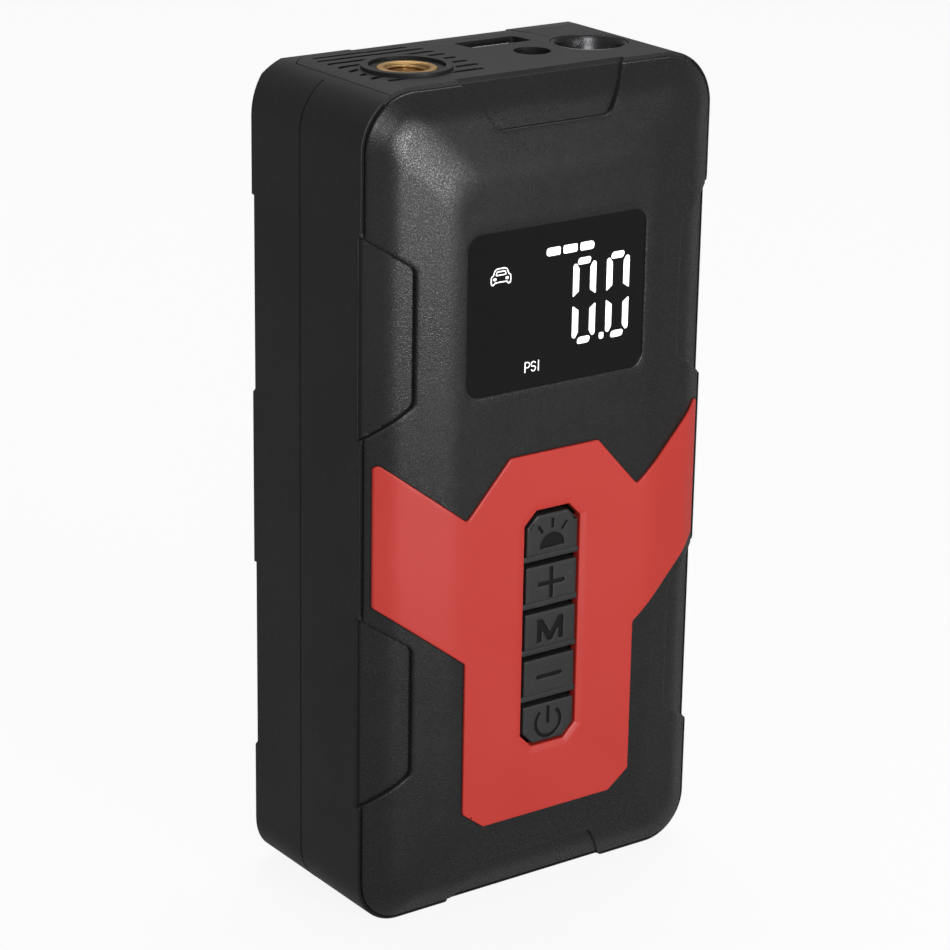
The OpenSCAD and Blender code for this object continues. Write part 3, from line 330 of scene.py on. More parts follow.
def plate(outer, holes, front, back, edge, hole_edge=None, spots=None, steps=3):
    """A solid sheet over an outline with holes, as points and faces. front and back give Y from x and z. Over its
    edges the front face is a quarter circle of radius e: at the angle a the outline is drawn in by e(1 - cos a) and
    the face has fallen by e(1 - sin a). The faces between the innermost loops are filled by triangles over spots."""
    holes = [h if area(h) < 0 else h[::-1] for h in holes]
    hole_edge = edge if hole_edge is None else hole_edge
    spot_gap, same_point = 0.3, 1e-7
    points, faces, inner, rims, start = [], [], [], [], 0
    for loop, e in [(anticlockwise(outer), edge)] + [(h, hole_edge) for h in holes]:
        rings = [laid(loop, back)]
        for a in np.linspace(0, math.pi/2, steps + 1) if e > 0 else [math.pi/2]:
            rings.append(laid(drawn_in(loop, e*(1 - math.cos(a))), front, e*(1 - math.sin(a))))
        points.append(np.concatenate(rings))
        faces += [[i + start for i in f] for f in grid_faces(len(rings), len(loop))]
        rims.append((start, start + (len(rings) - 1)*len(loop), len(loop)))
        inner.append(rings[-1][:, [0, 2]])
        start += len(points[-1])
    extra = np.zeros((0, 2)) if spots is None else spots[inside(spots, inner)]
    extra = extra[clear_of(extra, inner, spot_gap)]
    flat = np.concatenate(inner + [extra])
    links, first = [], 0
    for loop in inner:
        n = len(loop)
        links += [(first + i, first + (i + 1) % n) for i in range(n)]
        first += n
    made = delaunay_2d_cdt([Vector(p) for p in flat], links, [], 0, same_point)
    if len(made[0]) != len(flat):
        raise RuntimeError(f"an outline crosses itself: {len(flat)} points became {len(made[0])}")
    tri = np.array(made[2])
    tri = tri[inside(flat[tri].mean(1), inner)]
    for face, rim, way in ((front, 1, 1), (back, 0, -1)):
        number = np.concatenate([np.arange(r[rim], r[rim] + r[2]) for r in rims] + [start + np.arange(len(extra))])
        faces += number[tri][:, ::way].tolist()
        points.append(laid(extra, face))
        start += len(extra)
    return np.concatenate(points), faces


def level(y):
    """A flat face at y, as a function of x and z."""
    return lambda x, z: np.full(np.shape(x), float(y))


def slab(outline, front, back, holes=()):
    """A flat sheet with square edges, from y = front to y = back."""
    return plate(outline, holes, level(front), level(back), 0.0)


def stroke_loop(path, w):
    """The outline of a line of width w along an open path: its left side, then its right side backwards."""
    path = np.asarray(path, float)
    run = np.gradient(path, axis=0)
    run /= np.linalg.norm(run, axis=1, keepdims=True)
    side = np.stack([-run[:, 1], run[:, 0]], -1)*w/2
    return anticlockwise(np.concatenate([path - side, (path + side)[::-1]]))


def arc(x, z, r, start, end, count):
    """Points on a circle about x, z between two angles in degrees."""
    a = np.radians(np.linspace(start, end, count))
    return np.stack([x + r*np.cos(a), z + r*np.sin(a)], -1)


def mirrored(corners):
    """A right half, listed from its lowest to its highest corner, with its mirror image."""
    return list(corners) + [(-x, z, r) for x, z, r in reversed(corners)]


def box_corners(x0, x1, z0, z1, r):
    """Corners of an upright rectangle, from its lower left."""
    return [(x0, z0, r), (x1, z0, r), (x1, z1, r), (x0, z1, r)]


def spun(r, h, x, y, turns):
    """Rings of points round a vertical axis at x, y: the point at angle a is (x + r cos a, y + r sin a, h)."""
    a = np.linspace(0, 2*math.pi, turns, endpoint=False)[None]
    return np.stack([x + r*np.cos(a), y + r*np.sin(a), h + 0*a], -1).reshape(-1, 3)


def cad_copy(node, name, body, slot, edge, angle=40.0, segments=2):
    """Replaces a CAD node by a welded copy with whole flat faces and its sharp edges rounded."""
    source = frame["nodes"][node].data
    points = np.zeros(len(source.vertices)*3, np.float32)
    source.vertices.foreach_get("co", points)
    source.calc_loop_triangles()
    tri = np.zeros(len(source.loop_triangles)*3, np.int32)
    source.loop_triangles.foreach_get("vertices", tri)
    points, tri = points.reshape(-1, 3), tri.reshape(-1, 3)
    micrometres = 6
    _, first, number = np.unique(np.round(points, micrometres), axis=0, return_index=True, return_inverse=True)
    points, tri = points[first], number.reshape(-1)[tri]
    tri = tri[(tri[:, 0] != tri[:, 1]) & (tri[:, 1] != tri[:, 2]) & (tri[:, 0] != tri[:, 2])]
    work, mesh = editable(name, points, tri.tolist())
    flat_angle = 0.6
    bmesh.ops.dissolve_limit(work, angle_limit=math.radians(flat_angle), verts=work.verts, edges=work.edges)
    bmesh.ops.triangulate(work, faces=[f for f in work.faces if len(f.verts) > 4])
    piece = shaded(work, mesh, angle)
    bevel = piece.modifiers.new("Edges", "BEVEL")
    bevel.width, bevel.segments, bevel.limit_method = edge*MM, segments, "ANGLE"
    bevel.angle_limit = math.radians(angle)
    bevel.use_clamp_overlap = True
    bevel.miter_outer = "MITER_ARC"
    bevel.harden_normals = True
    settle(piece, body, slot, node)


# ---------------------------------------------------------------- materials

class Value:
    """A socket in a material, on which arithmetic adds Math nodes."""

    def __init__(self, finish, socket):
        self.finish, self.socket = finish, socket

    def math(self, operation, *values):
        return self.finish.node("ShaderNodeMath", {"operation": operation}, dict(enumerate(values)))

    def __add__(self, other):
        return self.math("ADD", self, other)

    def __mul__(self, other):
        return self.math("MULTIPLY", self, other)

    def __sub__(self, other):
        return self.math("SUBTRACT", self, other)

    def __rsub__(self, other):
        return self.math("SUBTRACT", other, self)

    __radd__, __rmul__ = __add__, __mul__

    def ramp(self, low, high, out_low=0.0, out_high=1.0):
        """The value taken smoothly from one range to another."""
        ends = {"From Min": low, "From Max": high, "To Min": out_low, "To Max": out_high}
        return self.finish.node("ShaderNodeMapRange", {"interpolation_type": "SMOOTHSTEP"}, {"Value": self, **ends})


class Finish:
    """A material and the nodes that make it."""

    def __init__(self, name):
        self.material = bpy.data.materials.new(name)
        self.material.use_nodes = True
        self.tree = self.material.node_tree
        self.shader = self.tree.nodes["Principled BSDF"]
        place = Value(self, self.tree.nodes.new("ShaderNodeTexCoord").outputs["Object"])
        self.mm = self.node("ShaderNodeVectorMath", {"operation": "SCALE"}, {0: place, "Scale": 1/MM}, "Vector")

    def node(self, kind, settings, inputs, output=0):
        """Adds a node: its settings first, then the values or links of its sockets."""
        made = self.tree.nodes.new(kind)
        for key, value in settings.items():
            setattr(made, key, value)
        for key, value in inputs.items():
            if isinstance(value, Value):
                self.tree.links.new(value.socket, made.inputs[key])
            else:
                made.inputs[key].default_value = value
        return Value(self, made.outputs[output])

    def noise(self, size, detail=2.0, rough=0.5, stretch=None):
        """Noise whose grains are about size millimetres across."""
        where = self.mm
        if stretch:
            where = self.node("ShaderNodeVectorMath", {"operation": "MULTIPLY"}, {0: where, 1: stretch}, "Vector")
        return self.node("ShaderNodeTexNoise", {},
                         {"Vector": where, "Scale": 1/size, "Detail": detail, "Roughness": rough}, "Fac")

    def cells(self, size, output="Distance", randomness=1.0, feature="F1"):
        """Cells about size millimetres across, as the distance to their middles or edges or as a colour for each."""
        return self.node("ShaderNodeTexVoronoi", {"feature": feature},
                         {"Vector": self.mm, "Scale": 1/size, "Randomness": randomness}, output)

    def mix(self, factor, a, b):
        """A colour between a and b."""
        a, b = ((*c, 1.0) if isinstance(c, tuple) else c for c in (a, b))
        return self.node("ShaderNodeMix", {"data_type": "RGBA"}, {0: factor, 6: a, 7: b}, 2)

    def bump(self, height, distance):
        """A normal that follows height, where a height of 1 is distance millimetres."""
        return self.node("ShaderNodeBump", {}, {"Height": height, "Distance": distance*MM, "Strength": 1.0})

    def set(self, **sockets):
        """Links or sets the sockets of the shader, named with _ for a space."""
        for key, value in sockets.items():
            socket = self.shader.inputs[key.replace("_", " ")]
            if isinstance(value, Value):
                self.tree.links.new(value.socket, socket)
            else:
                socket.default_value = (*value, 1.0) if isinstance(value, tuple) else value
        return self.material


def shades(base, *shares):
    """A colour multiplied by each share, up to full white."""
    return [tuple(min(c*share, 1.0) for c in base) for share in shares]


def spark_plastic(name, base, grain=0.3, depth=0.055, rough=0.28):
    """Plastic from a spark-eroded mould: a fine even grain whose pits are rougher than its peaks. Its colour, darker in
    the pits and lighter on the peaks, is partly the grain's own tone and partly painted shade and painted highlight,
    and a few brighter peaks carry painted glints."""
    f = Finish(name)
    pits = f.noise(grain, 1.0)
    fine = f.noise(grain*0.5, 1.0)
    slow = f.noise(12.0)
    # the base colour follows the grain's height: darker in the pits and lighter on the peaks, partly its own tone and
    # partly painted shade and painted highlight
    dark, light, painted_glint = shades(base, 0.35, 1.9, 5.0)
    body = f.mix((pits*0.6 + fine*0.4).ramp(0.32, 0.68), dark, light)
    # painted glints: a few of the highest peaks are painted five times brighter than the plastic
    peak = pits.ramp(0.66, 0.76)*fine.ramp(0.45, 0.6)
    body = f.mix(peak*0.55, body, painted_glint)
    rough_map = pits.ramp(0.32, 0.68, rough + 0.16, rough - 0.07) + slow.ramp(0.3, 0.7, -0.02, 0.02)
    return f.set(Base_Color=body, Roughness=rough_map, Normal=f.bump(pits*0.6 + fine*0.4, depth))


def moulded_plastic(name, base, rough, grain=0.5, depth=0.006, mottle=0.15, specks=0.0, gloss=0.5):
    """Smooth moulded plastic: faint orange peel, slow changes of shine, a little dust in the grain."""
    f = Finish(name)
    peel = f.noise(grain*4)
    fine = f.noise(grain, 2.0, 0.6)
    slow = f.noise(22.0, 3.0)
    dark, light, dust = shades(base, 1 - mottle, 1 + mottle, 4.0)
    body = f.mix(slow*0.5 + fine*0.5, dark, light)
    if specks:
        spot = f.node("ShaderNodeSeparateColor", {}, {0: f.cells(grain*1.6, "Color")}, 1).ramp(0.93, 1.0)
        body = f.mix(spot*specks, body, dust)
    rough_map = slow.ramp(0.2, 0.8, rough - 0.05, rough + 0.05) + (fine - 0.5)*0.06
    return f.set(Base_Color=body, Roughness=rough_map, Normal=f.bump(peel*0.4 + fine*0.6, depth),
                 Specular_IOR_Level=gloss)


EVEN = (1.0, 1.0, 1.0)


def metal(name, base, rough, brush=EVEN, depth=0.003, wear=0.2):
    """Metal with fine tool marks, drawn out along the axes where brush is small, and a slow change of shine."""
    f = Finish(name)
    marks = f.noise(0.35, 3.0, 0.6, stretch=brush)
    slow = f.noise(6.0)
    dark, light = shades(base, 1 - wear, 1 + wear*0.4)
    body = f.mix(marks*0.5 + slow*0.5, dark, light)
    rough_map = marks.ramp(0.2, 0.8, rough - 0.06, rough + 0.1)
    return f.set(Base_Color=body, Metallic=1.0, Roughness=rough_map, Normal=f.bump(marks, depth))


def board_finish(name):
    """A circuit board: green lacquer over copper tracks between cells, with small round pads."""
    f = Finish(name)
    track = f.cells(3.2, randomness=0.6, feature="DISTANCE_TO_EDGE").ramp(0.03, 0.07, 1.0, 0.0)
    pads = f.cells(2.6, randomness=0.25).ramp(0.16, 0.2, 1.0, 0.0)
    slow = f.noise(5.0)
    lacquer = f.mix(slow, (0.008, 0.1, 0.03), (0.014, 0.15, 0.05))
    lacquer = f.mix(track*0.6, lacquer, (0.03, 0.24, 0.08))
    body = f.mix(pads, lacquer, (0.62, 0.6, 0.56))
    return f.set(Base_Color=body, Metallic=pads*0.9, Roughness=slow.ramp(0.2, 0.8, 0.25, 0.4),
                 Normal=f.bump(track + pads, 0.04))


def foil_finish(name):
    """Laminate foil: a soft silver with shallow dents and creases."""
    f = Finish(name)
    dents = f.noise(7.0, 3.0)
    crease = f.noise(1.4, 4.0, 0.6, stretch=(1.0, 1.0, 3.0))
    body = f.mix(dents, (0.5, 0.52, 0.55), (0.66, 0.68, 0.7))
    return f.set(Base_Color=body, Metallic=1.0, Roughness=crease.ramp(0.3, 0.7, 0.28, 0.45),
                 Normal=f.bump(dents*0.8 + crease*0.2, 0.35))


def clear_finish(name):
    """Clear moulded plastic with faint flow lines."""
    f = Finish(name)
    flow = f.noise(3.0)
    body = f.mix(flow, (0.93, 0.95, 0.98), (0.98, 0.99, 1.0))
    return f.set(Base_Color=body, Roughness=flow.ramp(0.2, 0.8, 0.02, 0.06), Transmission_Weight=1.0, IOR=1.49)


def lit_finish(name, lit):
    """Light that shows through the window, a little uneven along the segments."""
    f = Finish(name)
    uneven = f.noise(1.6, 1.0)
    glow = f.mix(uneven, *shades(lit, 0.93, 1.0))
    return f.set(Base_Color=glow, Roughness=0.4, Emission_Color=glow, Emission_Strength=0.9)


def phosphor_finish(name):
    """Yellow phosphor with a fine grain."""
    f = Finish(name)
    grains = f.noise(0.25)
    body = f.mix(grains, (0.8, 0.62, 0.12), (0.95, 0.8, 0.32))
    return f.set(Base_Color=body, Roughness=grains.ramp(0.2, 0.8, 0.4, 0.6), Normal=f.bump(grains, 0.02))


FINISHES = {}


def recipe(slot):
    """What makes the material of a slot: a function, then its values after the name."""
    c = bpy.context.scene.pack_finish
    return {
        "shell_plastic": (moulded_plastic, c.shell, 0.42, 0.5, 0.01, 0.15, 0.3, 0.45),
        "cover_plastic": (spark_plastic, c.cover),
        "accent_red": (moulded_plastic, c.accent, 0.42, 0.35, 0.012, 0.06),
        "window_black": (moulded_plastic, c.window, 0.1, 0.8, 0.0004, 0.08, 0.0, 0.4),
        "digit_white": (lit_finish, c.lit),
        "module_white": (moulded_plastic, (0.75, 0.75, 0.72), 0.5),
        "key_plastic": (moulded_plastic, c.key, 0.45, 0.3, 0.03, 0.3, 0.25),
        "panel_plastic": (moulded_plastic, c.panel, 0.5, 0.4, 0.012, 0.15, 0.2, 0.35),
        "black_plastic": (moulded_plastic, (0.004, 0.004, 0.004), 0.6, 0.4, 0.01, 0.2, 0.0, 0.2),
        "plunger_grey": (moulded_plastic, (0.4, 0.4, 0.4), 0.5),
        "board_green": (board_finish,),
        "steel": (metal, (0.55, 0.55, 0.56), 0.3),
        "nickel": (metal, (0.62, 0.62, 0.61), 0.22, (1, 1, 0.2)),
        "screw_black": (metal, (0.05, 0.05, 0.052), 0.42),
        "brass": (metal, c.brass, 0.42, (1, 1, 0.15), 0.004, 0.25),
        "gold_contact": (metal, (0.8, 0.57, 0.2), 0.22),
        "reflector": (metal, (0.09, 0.09, 0.095), 0.28, EVEN, 0.03, 0.4),
        "lens_clear": (clear_finish,),
        "led_yellow": (phosphor_finish,),
        "socket_blue": (moulded_plastic, (0.02, 0.055, 0.26), 0.4),
        "rubber_black": (moulded_plastic, (0.014, 0.014, 0.0145), 0.68, 0.3, 0.02, 0.15, 0.0, 0.35),
        "tray_grey": (moulded_plastic, (0.09, 0.09, 0.1), 0.5, 0.6, 0.02),
        "cell_wrap": (foil_finish,),
        "relay_blue": (moulded_plastic, (0.03, 0.09, 0.33), 0.35),
        "capacitor_sleeve": (moulded_plastic, (0.03, 0.03, 0.09), 0.3),
        "motor_can": (metal, (0.5, 0.51, 0.52), 0.34, (0.2, 1, 1), 0.006),
        "cast_alloy": (metal, (0.42, 0.42, 0.43), 0.5, EVEN, 0.03),
        "gear_nylon": (moulded_plastic, (0.62, 0.6, 0.54), 0.45, 0.5, 0.012),
    }[slot]


def finish_for(slot):
    """The material of a slot, made when it is first asked for."""
    if slot not in FINISHES:
        make, *values = recipe(slot)
        FINISHES[slot] = make("finish_" + slot, *values)
    return FINISHES[slot]


# ---------------------------------------------------------------- shape of the front

def soft_ramp(u, w):
    """max(u, 0) with its corner rounded over a width w, where it is (u + w/2) squared over 2w."""
    return np.where(u > w/2, u, np.where(u < -w/2, 0.0, (u + w/2)**2/(2*w)))


def edge_distance(x, z):
    """Distance in from the outline of the case. Beside the straight sides it is the distance to the nearest one. In a
    corner it is the corner radius less the distance to the corner's axis. Further in, the contours keep a corner of
    radius r, where d solves (d - A)^2 + (d - B)^2 = r^2 for A and B the distances to the sides less r."""
    case = bpy.context.scene.pack_case
    x, z = np.asarray(x, float), np.asarray(z, float)
    top = z > HEIGHT/2
    a, b = HALF_W - np.abs(x), np.where(top, HEIGHT - z, z)
    corner = np.where(top, case.top_r, case.base_r)
    outer = corner - np.hypot(np.maximum(corner - a, 0), np.maximum(corner - b, 0))
    r = case.inner_r
    near = np.abs(a - b) < r
    inner = np.where(near, (a + b - 2*r + np.sqrt(np.maximum(2*r*r - (a - b)**2, 0)))/2, np.minimum(a, b))
    return np.where(outer < corner - r, outer, inner)


def front_face(x, z, sunk=0.0):
    """Y of the front: the flat face, plus one soft ramp for the slope and one for the steeper band, plus sunk."""
    case = bpy.context.scene.pack_case
    d = edge_distance(x, z)
    slope = (case.front_drop - case.edge_drop)/(case.front_slope - case.edge_band)
    steep = case.edge_drop/case.edge_band - slope
    return (FRONT_Y + slope*soft_ramp(case.front_slope - d, case.slope_blend)
            + steep*soft_ramp(case.edge_band - d, case.band_blend) + sunk)


def sunk_face(sunk):
    """The front, moved back by sunk, as a function of x and z."""
    return lambda x, z: front_face(x, z, sunk)


RECESS_MIDDLES = (50.4, HEIGHT - 51.1)


def side_recess(z, inset, grow=0.0):
    """Right-hand corners of one side recess from its lower end to its upper end, grown on its three inner sides."""
    case = bpy.context.scene.pack_case
    slant = case.recess_taper/case.recess_w
    reach, half = case.recess_w + grow, case.recess_h/2 + grow*0.7
    low = z - half + slant*inset
    return [(HALF_W - inset, low, 0.5), (HALF_W - reach, z - half + case.recess_taper, case.recess_corner),
            (HALF_W - reach, z + half - case.recess_taper, case.recess_corner), (HALF_W - inset, 2*z - low, 0.5)]


def end_recess(inset, up, grow=0.0):
    """Right-hand corners of an end recess, from the rim inwards."""
    case, slant = bpy.context.scene.pack_case, 0.7
    inner = case.end_recess_w - slant*case.end_recess_h
    z0, z1 = (HEIGHT - inset, HEIGHT - case.end_recess_h - grow) if up else (inset, case.end_recess_h + grow)
    return [(case.end_recess_w - slant*inset + grow, z0, 0.5), (inner + grow, z1, case.recess_corner)]


def case_path(inset=0.0):
    """The case's outline drawn in by inset, without its stretch along the end panel, as an open path."""
    case, end = bpy.context.scene.pack_case, node_box("top_panel")[1][0]
    loop = smooth_loop(mirrored([(HALF_W - inset, inset, case.base_r - inset),
                                 (HALF_W - inset, HEIGHT - inset, case.top_r - inset)]))
    loop = np.roll(loop, -1 - np.argmin(np.hypot(loop[:, 0] - end, loop[:, 1] - HEIGHT)), 0)
    return loop[(np.abs(loop[:, 0]) > end) | (loop[:, 1] < HEIGHT/2)]


class PACK_OT_front_cover(bpy.types.Operator):
    """Makes the textured front cover with its slopes, recesses and openings, a near-black band beside it as painted
    shade of the groove there, and the bead round it
    """
    bl_idname = "pack.front_cover"
    bl_label = "Front cover"

    def execute(self, context):
        case = context.scene.pack_case
        g, hole_edge, window_gap, slot_gap, slot_half = case.rim_gap, 0.28, 0.15, 1.2, 8.9
        half = [*end_recess(g, False)[::-1], (HALF_W - g, g, case.base_r - g),
                *side_recess(RECESS_MIDDLES[0], g), *side_recess(RECESS_MIDDLES[1], g),
                (HALF_W - g, HEIGHT - g, case.top_r - g), *end_recess(g, True)]
        outline = smooth_loop(mirrored(half), 0.7)
        window = smooth_loop(window_corners(window_gap))
        slot = smooth_loop(box_corners(-slot_half, slot_half, SLOT_LOW - slot_gap, SLOT_HIGH + slot_gap, 2.0), 1.0)
        curved = case.front_slope + case.slope_blend/2
        fine, coarse = (scatter((-HALF_W, 0), (HALF_W, HEIGHT), step) for step in (0.85, 3.0))
        fine = fine[edge_distance(*fine.T) < curved + 0.5]
        coarse = coarse[edge_distance(*coarse.T) > curved + 1.0]

        def rear(x, z):
            return np.minimum(front_face(x, z, case.wall), COVER_Y)

        parts = [plate(outline, [window, slot], front_face, rear, case.edge_r, hole_edge,
                       np.concatenate([fine, coarse]))]
        # each recess has its own floor, which reaches a little under the cover
        floor, tuck, thick, floor_edge = case.recess_depth - 0.05, 0.4, 0.9, 0.12
        sides = [side_recess(z, g, tuck) for z in RECESS_MIDDLES]
        loops = [[(flip*x, z, r) for x, z, r in corners] for corners in sides for flip in (1, -1)]
        loops += [mirrored(end_recess(g, False, tuck)[::-1]), mirrored(end_recess(g, True, tuck))]
        parts += [plate(smooth_loop(loop), [], sunk_face(floor), sunk_face(floor + thick), floor_edge, spots=fine)
                  for loop in loops]
        make_piece("cover_front", parts, "case", "cover_plastic", "front_cover", sharp=38)
        self.groove(case)
        return {"FINISHED"}

    def groove(self, case):
        """A near-black band beside the cover, painted shade of the groove there, and the shell's rounded edge outside
        it: two bands along the case's outline that lie on the shell's rim, and in the recesses as deep as their floors."""
        rim_y = node_box("front_shell")[0][1]

        def rim(rise):
            def y(x, z):
                side = np.min([np.abs(z - middle) for middle in RECESS_MIDDLES], 0) < case.recess_h/2
                low = (np.abs(x) < case.end_recess_w) & (z < case.end_recess_h)
                cut = (side & (np.abs(x) > HALF_W/2)) | low
                return np.where(cut, front_face(x, z, case.recess_depth), rim_y) - rise
            return y

        # painted shade: a near-black band over the groove between the bead and the cover
        first, last = case.bead_w - 0.1, case.rim_gap + 0.6
        made = plate(stroke_loop(case_path((first + last)/2), last - first), [], rim(0.03), rim(-0.1), 0.0)
        make_piece("cover_groove", [made], "case", "black_plastic")
        made = plate(stroke_loop(case_path(case.bead_w/2 + 0.02), case.bead_w), [], rim(0.2), rim(-0.2), 0.14, steps=5)
        make_piece("cover_bead", [made], "case", "shell_plastic")


def window_corners(grow):
    """The display window's outline, grown on all sides."""
    low, high = node_box("display_window")
    return box_corners(low[0] - grow, high[0] + grow, low[2] - grow, high[2] + grow, 3.0 + grow)


SLOT_HALF, SLOT_CUT, SLOT_LOW, SLOT_HIGH = 7.42, 3.1, 36.0, 90.7
CUT_SHARE = 0.6


def key_corners(w, c, low, high, r, cut_low=True, cut_high=True):
    """Right-hand corners of a rectangle of half width w whose ends can have their corners cut off by c."""
    half = [(w - c, low, r), (w, low + c, r)] if cut_low else [(w, low, r)]
    return half + ([(w, high - c, r), (w - c, high, r)] if cut_high else [(w, high, r)])


def slot_loop(grow=0.0):
    """The key slot: a tall opening with its corners cut off."""
    half = key_corners(SLOT_HALF + grow, SLOT_CUT + grow*CUT_SHARE, SLOT_LOW - grow, SLOT_HIGH + grow, 0.4)
    return smooth_loop(mirrored(half), 0.6)


def slot_distance(x, z):
    """Distance out from the key slot: the largest of the distances to its sides, its ends and its cut corners."""
    a, b = np.abs(x) - SLOT_HALF, np.abs(z - (SLOT_LOW + SLOT_HIGH)/2) - (SLOT_HIGH - SLOT_LOW)/2
    return np.maximum(np.maximum(a, b), (a + b + SLOT_CUT)/math.sqrt(2))


class PACK_OT_accent_panel(bpy.types.Operator):
    """Makes the coloured accent panel that follows the slopes of the cover, and a near-black band round it, painted
    shade at the panel's foot
    """
    bl_idname = "pack.accent_panel"
    bl_label = "Accent panel"

    def execute(self, context):
        panel = context.scene.pack_panel
        r, wing, side, spot_step, ring_step = panel.corner_r, 42.8, 22.6, 0.9, 0.35
        half = [(17.15, 20.1, r), (side, 24.3, r), (side, 59.5, r), (wing, 75.0, r), (wing, 107.3, r), (side, 91.7, r),
                (11.6, 103.8, r)]
        outline = smooth_loop(mirrored(half), 0.7)
        spots = scatter((-HALF_W, 15), (HALF_W, 110), spot_step)
        spots = np.concatenate([spots[slot_distance(*spots.T) > panel.border_w + 0.6]]
                               + [slot_loop(grow) for grow in np.arange(0.5, panel.border_w + 0.5, ring_step)])

        def face(x, z):
            fall = soft_ramp(panel.border_w - slot_distance(x, z), 0.7)/panel.border_w
            return front_face(x, z, panel.border_drop*fall - panel.proud)

        made = plate(outline, [slot_loop()], face, sunk_face(1.9), panel.edge_r, panel.slot_edge_r, spots, 4)
        make_piece("accent_panel_face", [made], "case", "accent_red", "accent_panel", sharp=40)
        # painted shade: a near-black band round the panel's foot, lying just on the cover
        lap, proud, depth = 0.6, 0.03, 0.5
        made = plate(drawn_in(outline, -panel.gap), [drawn_in(outline, lap)], sunk_face(-proud), sunk_face(depth), 0.0)
        make_piece("accent_panel_joint", [made], "case", "black_plastic")
        return {"FINISHED"}


# ---------------------------------------------------------------- display

def seven_segment_zero(x, w, low, high):
    """The six lit segments of a nought whose left edge is x: four uprights, cut to a point on their outer side beside
    the middle, and a short bar at the top and the base."""
    span, middle, gap = 6.06, (low + high)/2 + 0.1, 0.95
    bars = []
    for outer, way in ((x, 1), (x + span, -1)):
        inner = outer + way*w
        for near, far, up in ((middle + gap, high - 1.15, 1), (middle - gap, low + 1.45, -1)):
            bars.append([(outer, near, 0.15), (inner, near + up*1.1, 0.3), (inner, far - up*1.15, 0.3),
                         (outer + way*0.85, far, 0.3), (outer, far, 0.6)])
    bars.append([(x + 1.0, high - 1.5, 0.5), (x + 4.35, high - 1.5, 0.7), (x + 4.75, high, 0.5), (x + 1.4, high, 0.7)])
    bars.append([(x + 1.25, low, 0.5), (x + 4.5, low, 0.7), (x + 4.95, low + 1.5, 0.5), (x + 1.7, low + 1.5, 0.7)])
    return [smooth_loop(bar, 1.0) for bar in bars]


class PACK_OT_display(bpy.types.Operator):
    """Makes the polished window and the lit marks of the display"""
    bl_idname = "pack.display"
    bl_label = "Display"

    def execute(self, context):
        display = context.scene.pack_display
        face, w = FRONT_Y + display.sunk, display.stroke
        grow, thick = 0.2, 1.0
        made = slab(smooth_loop(window_corners(grow)), face, face + thick)
        make_piece("display_window_face", [made], "case", "window_black", "display_window")
        low, high, dash_low, dash_high = 125.95, 144.8, 146.3, 148.1
        loops = [loop for x in (4.17, 13.02) for loop in seven_segment_zero(x, w, low, high)]
        loops += [smooth_loop(box_corners(11.4, 12.62, 126.15, 127.6, 0.4), 1.0)]
        dashes = ((-2.95, 0.68, 0.75, 0.35), (1.42, 5.1, 0.4, 0.4), (5.86, 9.5, 0.35, 0.75))
        loops += [smooth_loop([(x0, dash_low, r0), (x1, dash_low, r1), (x1, dash_high, r1), (x0, dash_high, r0)], 1.0)
                  for x0, x1, r0, r1 in dashes]
        signs = [(loop, []) for loop in loops] + car_sign(-14.55, 141.9, 0.24) + unit_letters(-8.0, 121.85, 0.22, 2.35)
        proud, depth = 0.02, 0.3
        parts = [slab(loop, face - proud, face + depth, holes) for loop, holes in signs]
        make_piece("display_marks", parts, "case", "digit_white", "display_digits")
        return {"FINISHED"}


def car_sign(x, z, w):
    """Outlines of a car seen from the front, in lines of width w: its body, its window and two filled lamps."""
    half = [(0.0, 3.65), (1.15, 3.6), (1.55, 3.3), (1.95, 2.35), (2.45, 2.0), (2.5, 0.9), (2.35, 0.35), (1.9, 0.25),
            (1.55, 0.7), (0.0, 0.75)]
    body = [(x + a, z + b, 0.25) for a, b in half] + [(x - a, z + b, 0.25) for a, b in half[-2:0:-1]]
    pane = [(-1.3, 2.25, 0.15), (1.3, 2.25, 0.15), (1.0, 3.0, 0.2), (-1.0, 3.0, 0.2)]
    window = [(x + a, z + b, r) for a, b, r in pane]
    rings = [smooth_loop(corners, 0.6) for corners in (body[::-1], window)]
    lamp_x, half_w = 1.55, 0.4
    lamps = [smooth_loop(box_corners(at - half_w, at + half_w, z + 1.15, z + 1.75, 0.28), 0.5)
             for at in (x - lamp_x, x + lamp_x)]
    return [(drawn_in(ring, -w/2), [drawn_in(ring, w/2)]) for ring in rings] + [(lamp, []) for lamp in lamps]


def unit_letters(x, z, w, h):
    """Outlines of the unit's three letters, in lines of width w and height h."""
    bowl = np.concatenate([[(x + w/2, z + h - w/2)], arc(x + 0.72, z + h - 0.69, 0.58, 90, -90, 12),
                           [(x + w/2, z + h - 1.27)]])
    middle, last = x + 2.28, x + 3.6
    curve = np.concatenate([arc(middle, z + h - 0.7, 0.55, 20, 250, 14), arc(middle, z + 0.7, 0.55, 70, -160, 14)])
    lines = [[(x + w/2, z), (x + w/2, z + h)], bowl, curve, [(last, z), (last, z + h)]]
    return [(stroke_loop(line, w), []) for line in lines]


# ---------------------------------------------------------------- keys

def sun_mark(z, w):
    """Half a sun over its horizon, with three rays; z is the middle of the key."""
    low, radius, ray_start, ray_end, spread = z - 2.3, 3.25, 4.3, 6.5, 36
    ways = [np.array([math.sin(a), math.cos(a)]) for a in np.radians((-spread, 0, spread))]
    rays = [stroke_loop([(0.0, low) + way*ray_start, (0.0, low) + way*ray_end], w*0.75) for way in ways]
    return [arc(0.0, low, radius, 0, 180, 28)] + rays


def plus_mark(z, w):
    """A cross with arms r long, with its corners rounded."""
    r, h, c, e = 3.55, w/2, 0.2, 0.15
    quarter = [(h, z - r, e), (h, z - h, c), (r, z - h, e), (r, z + h, e), (h, z + h, c), (h, z + r, e)]
    return [smooth_loop(mirrored(quarter), 0.6)]


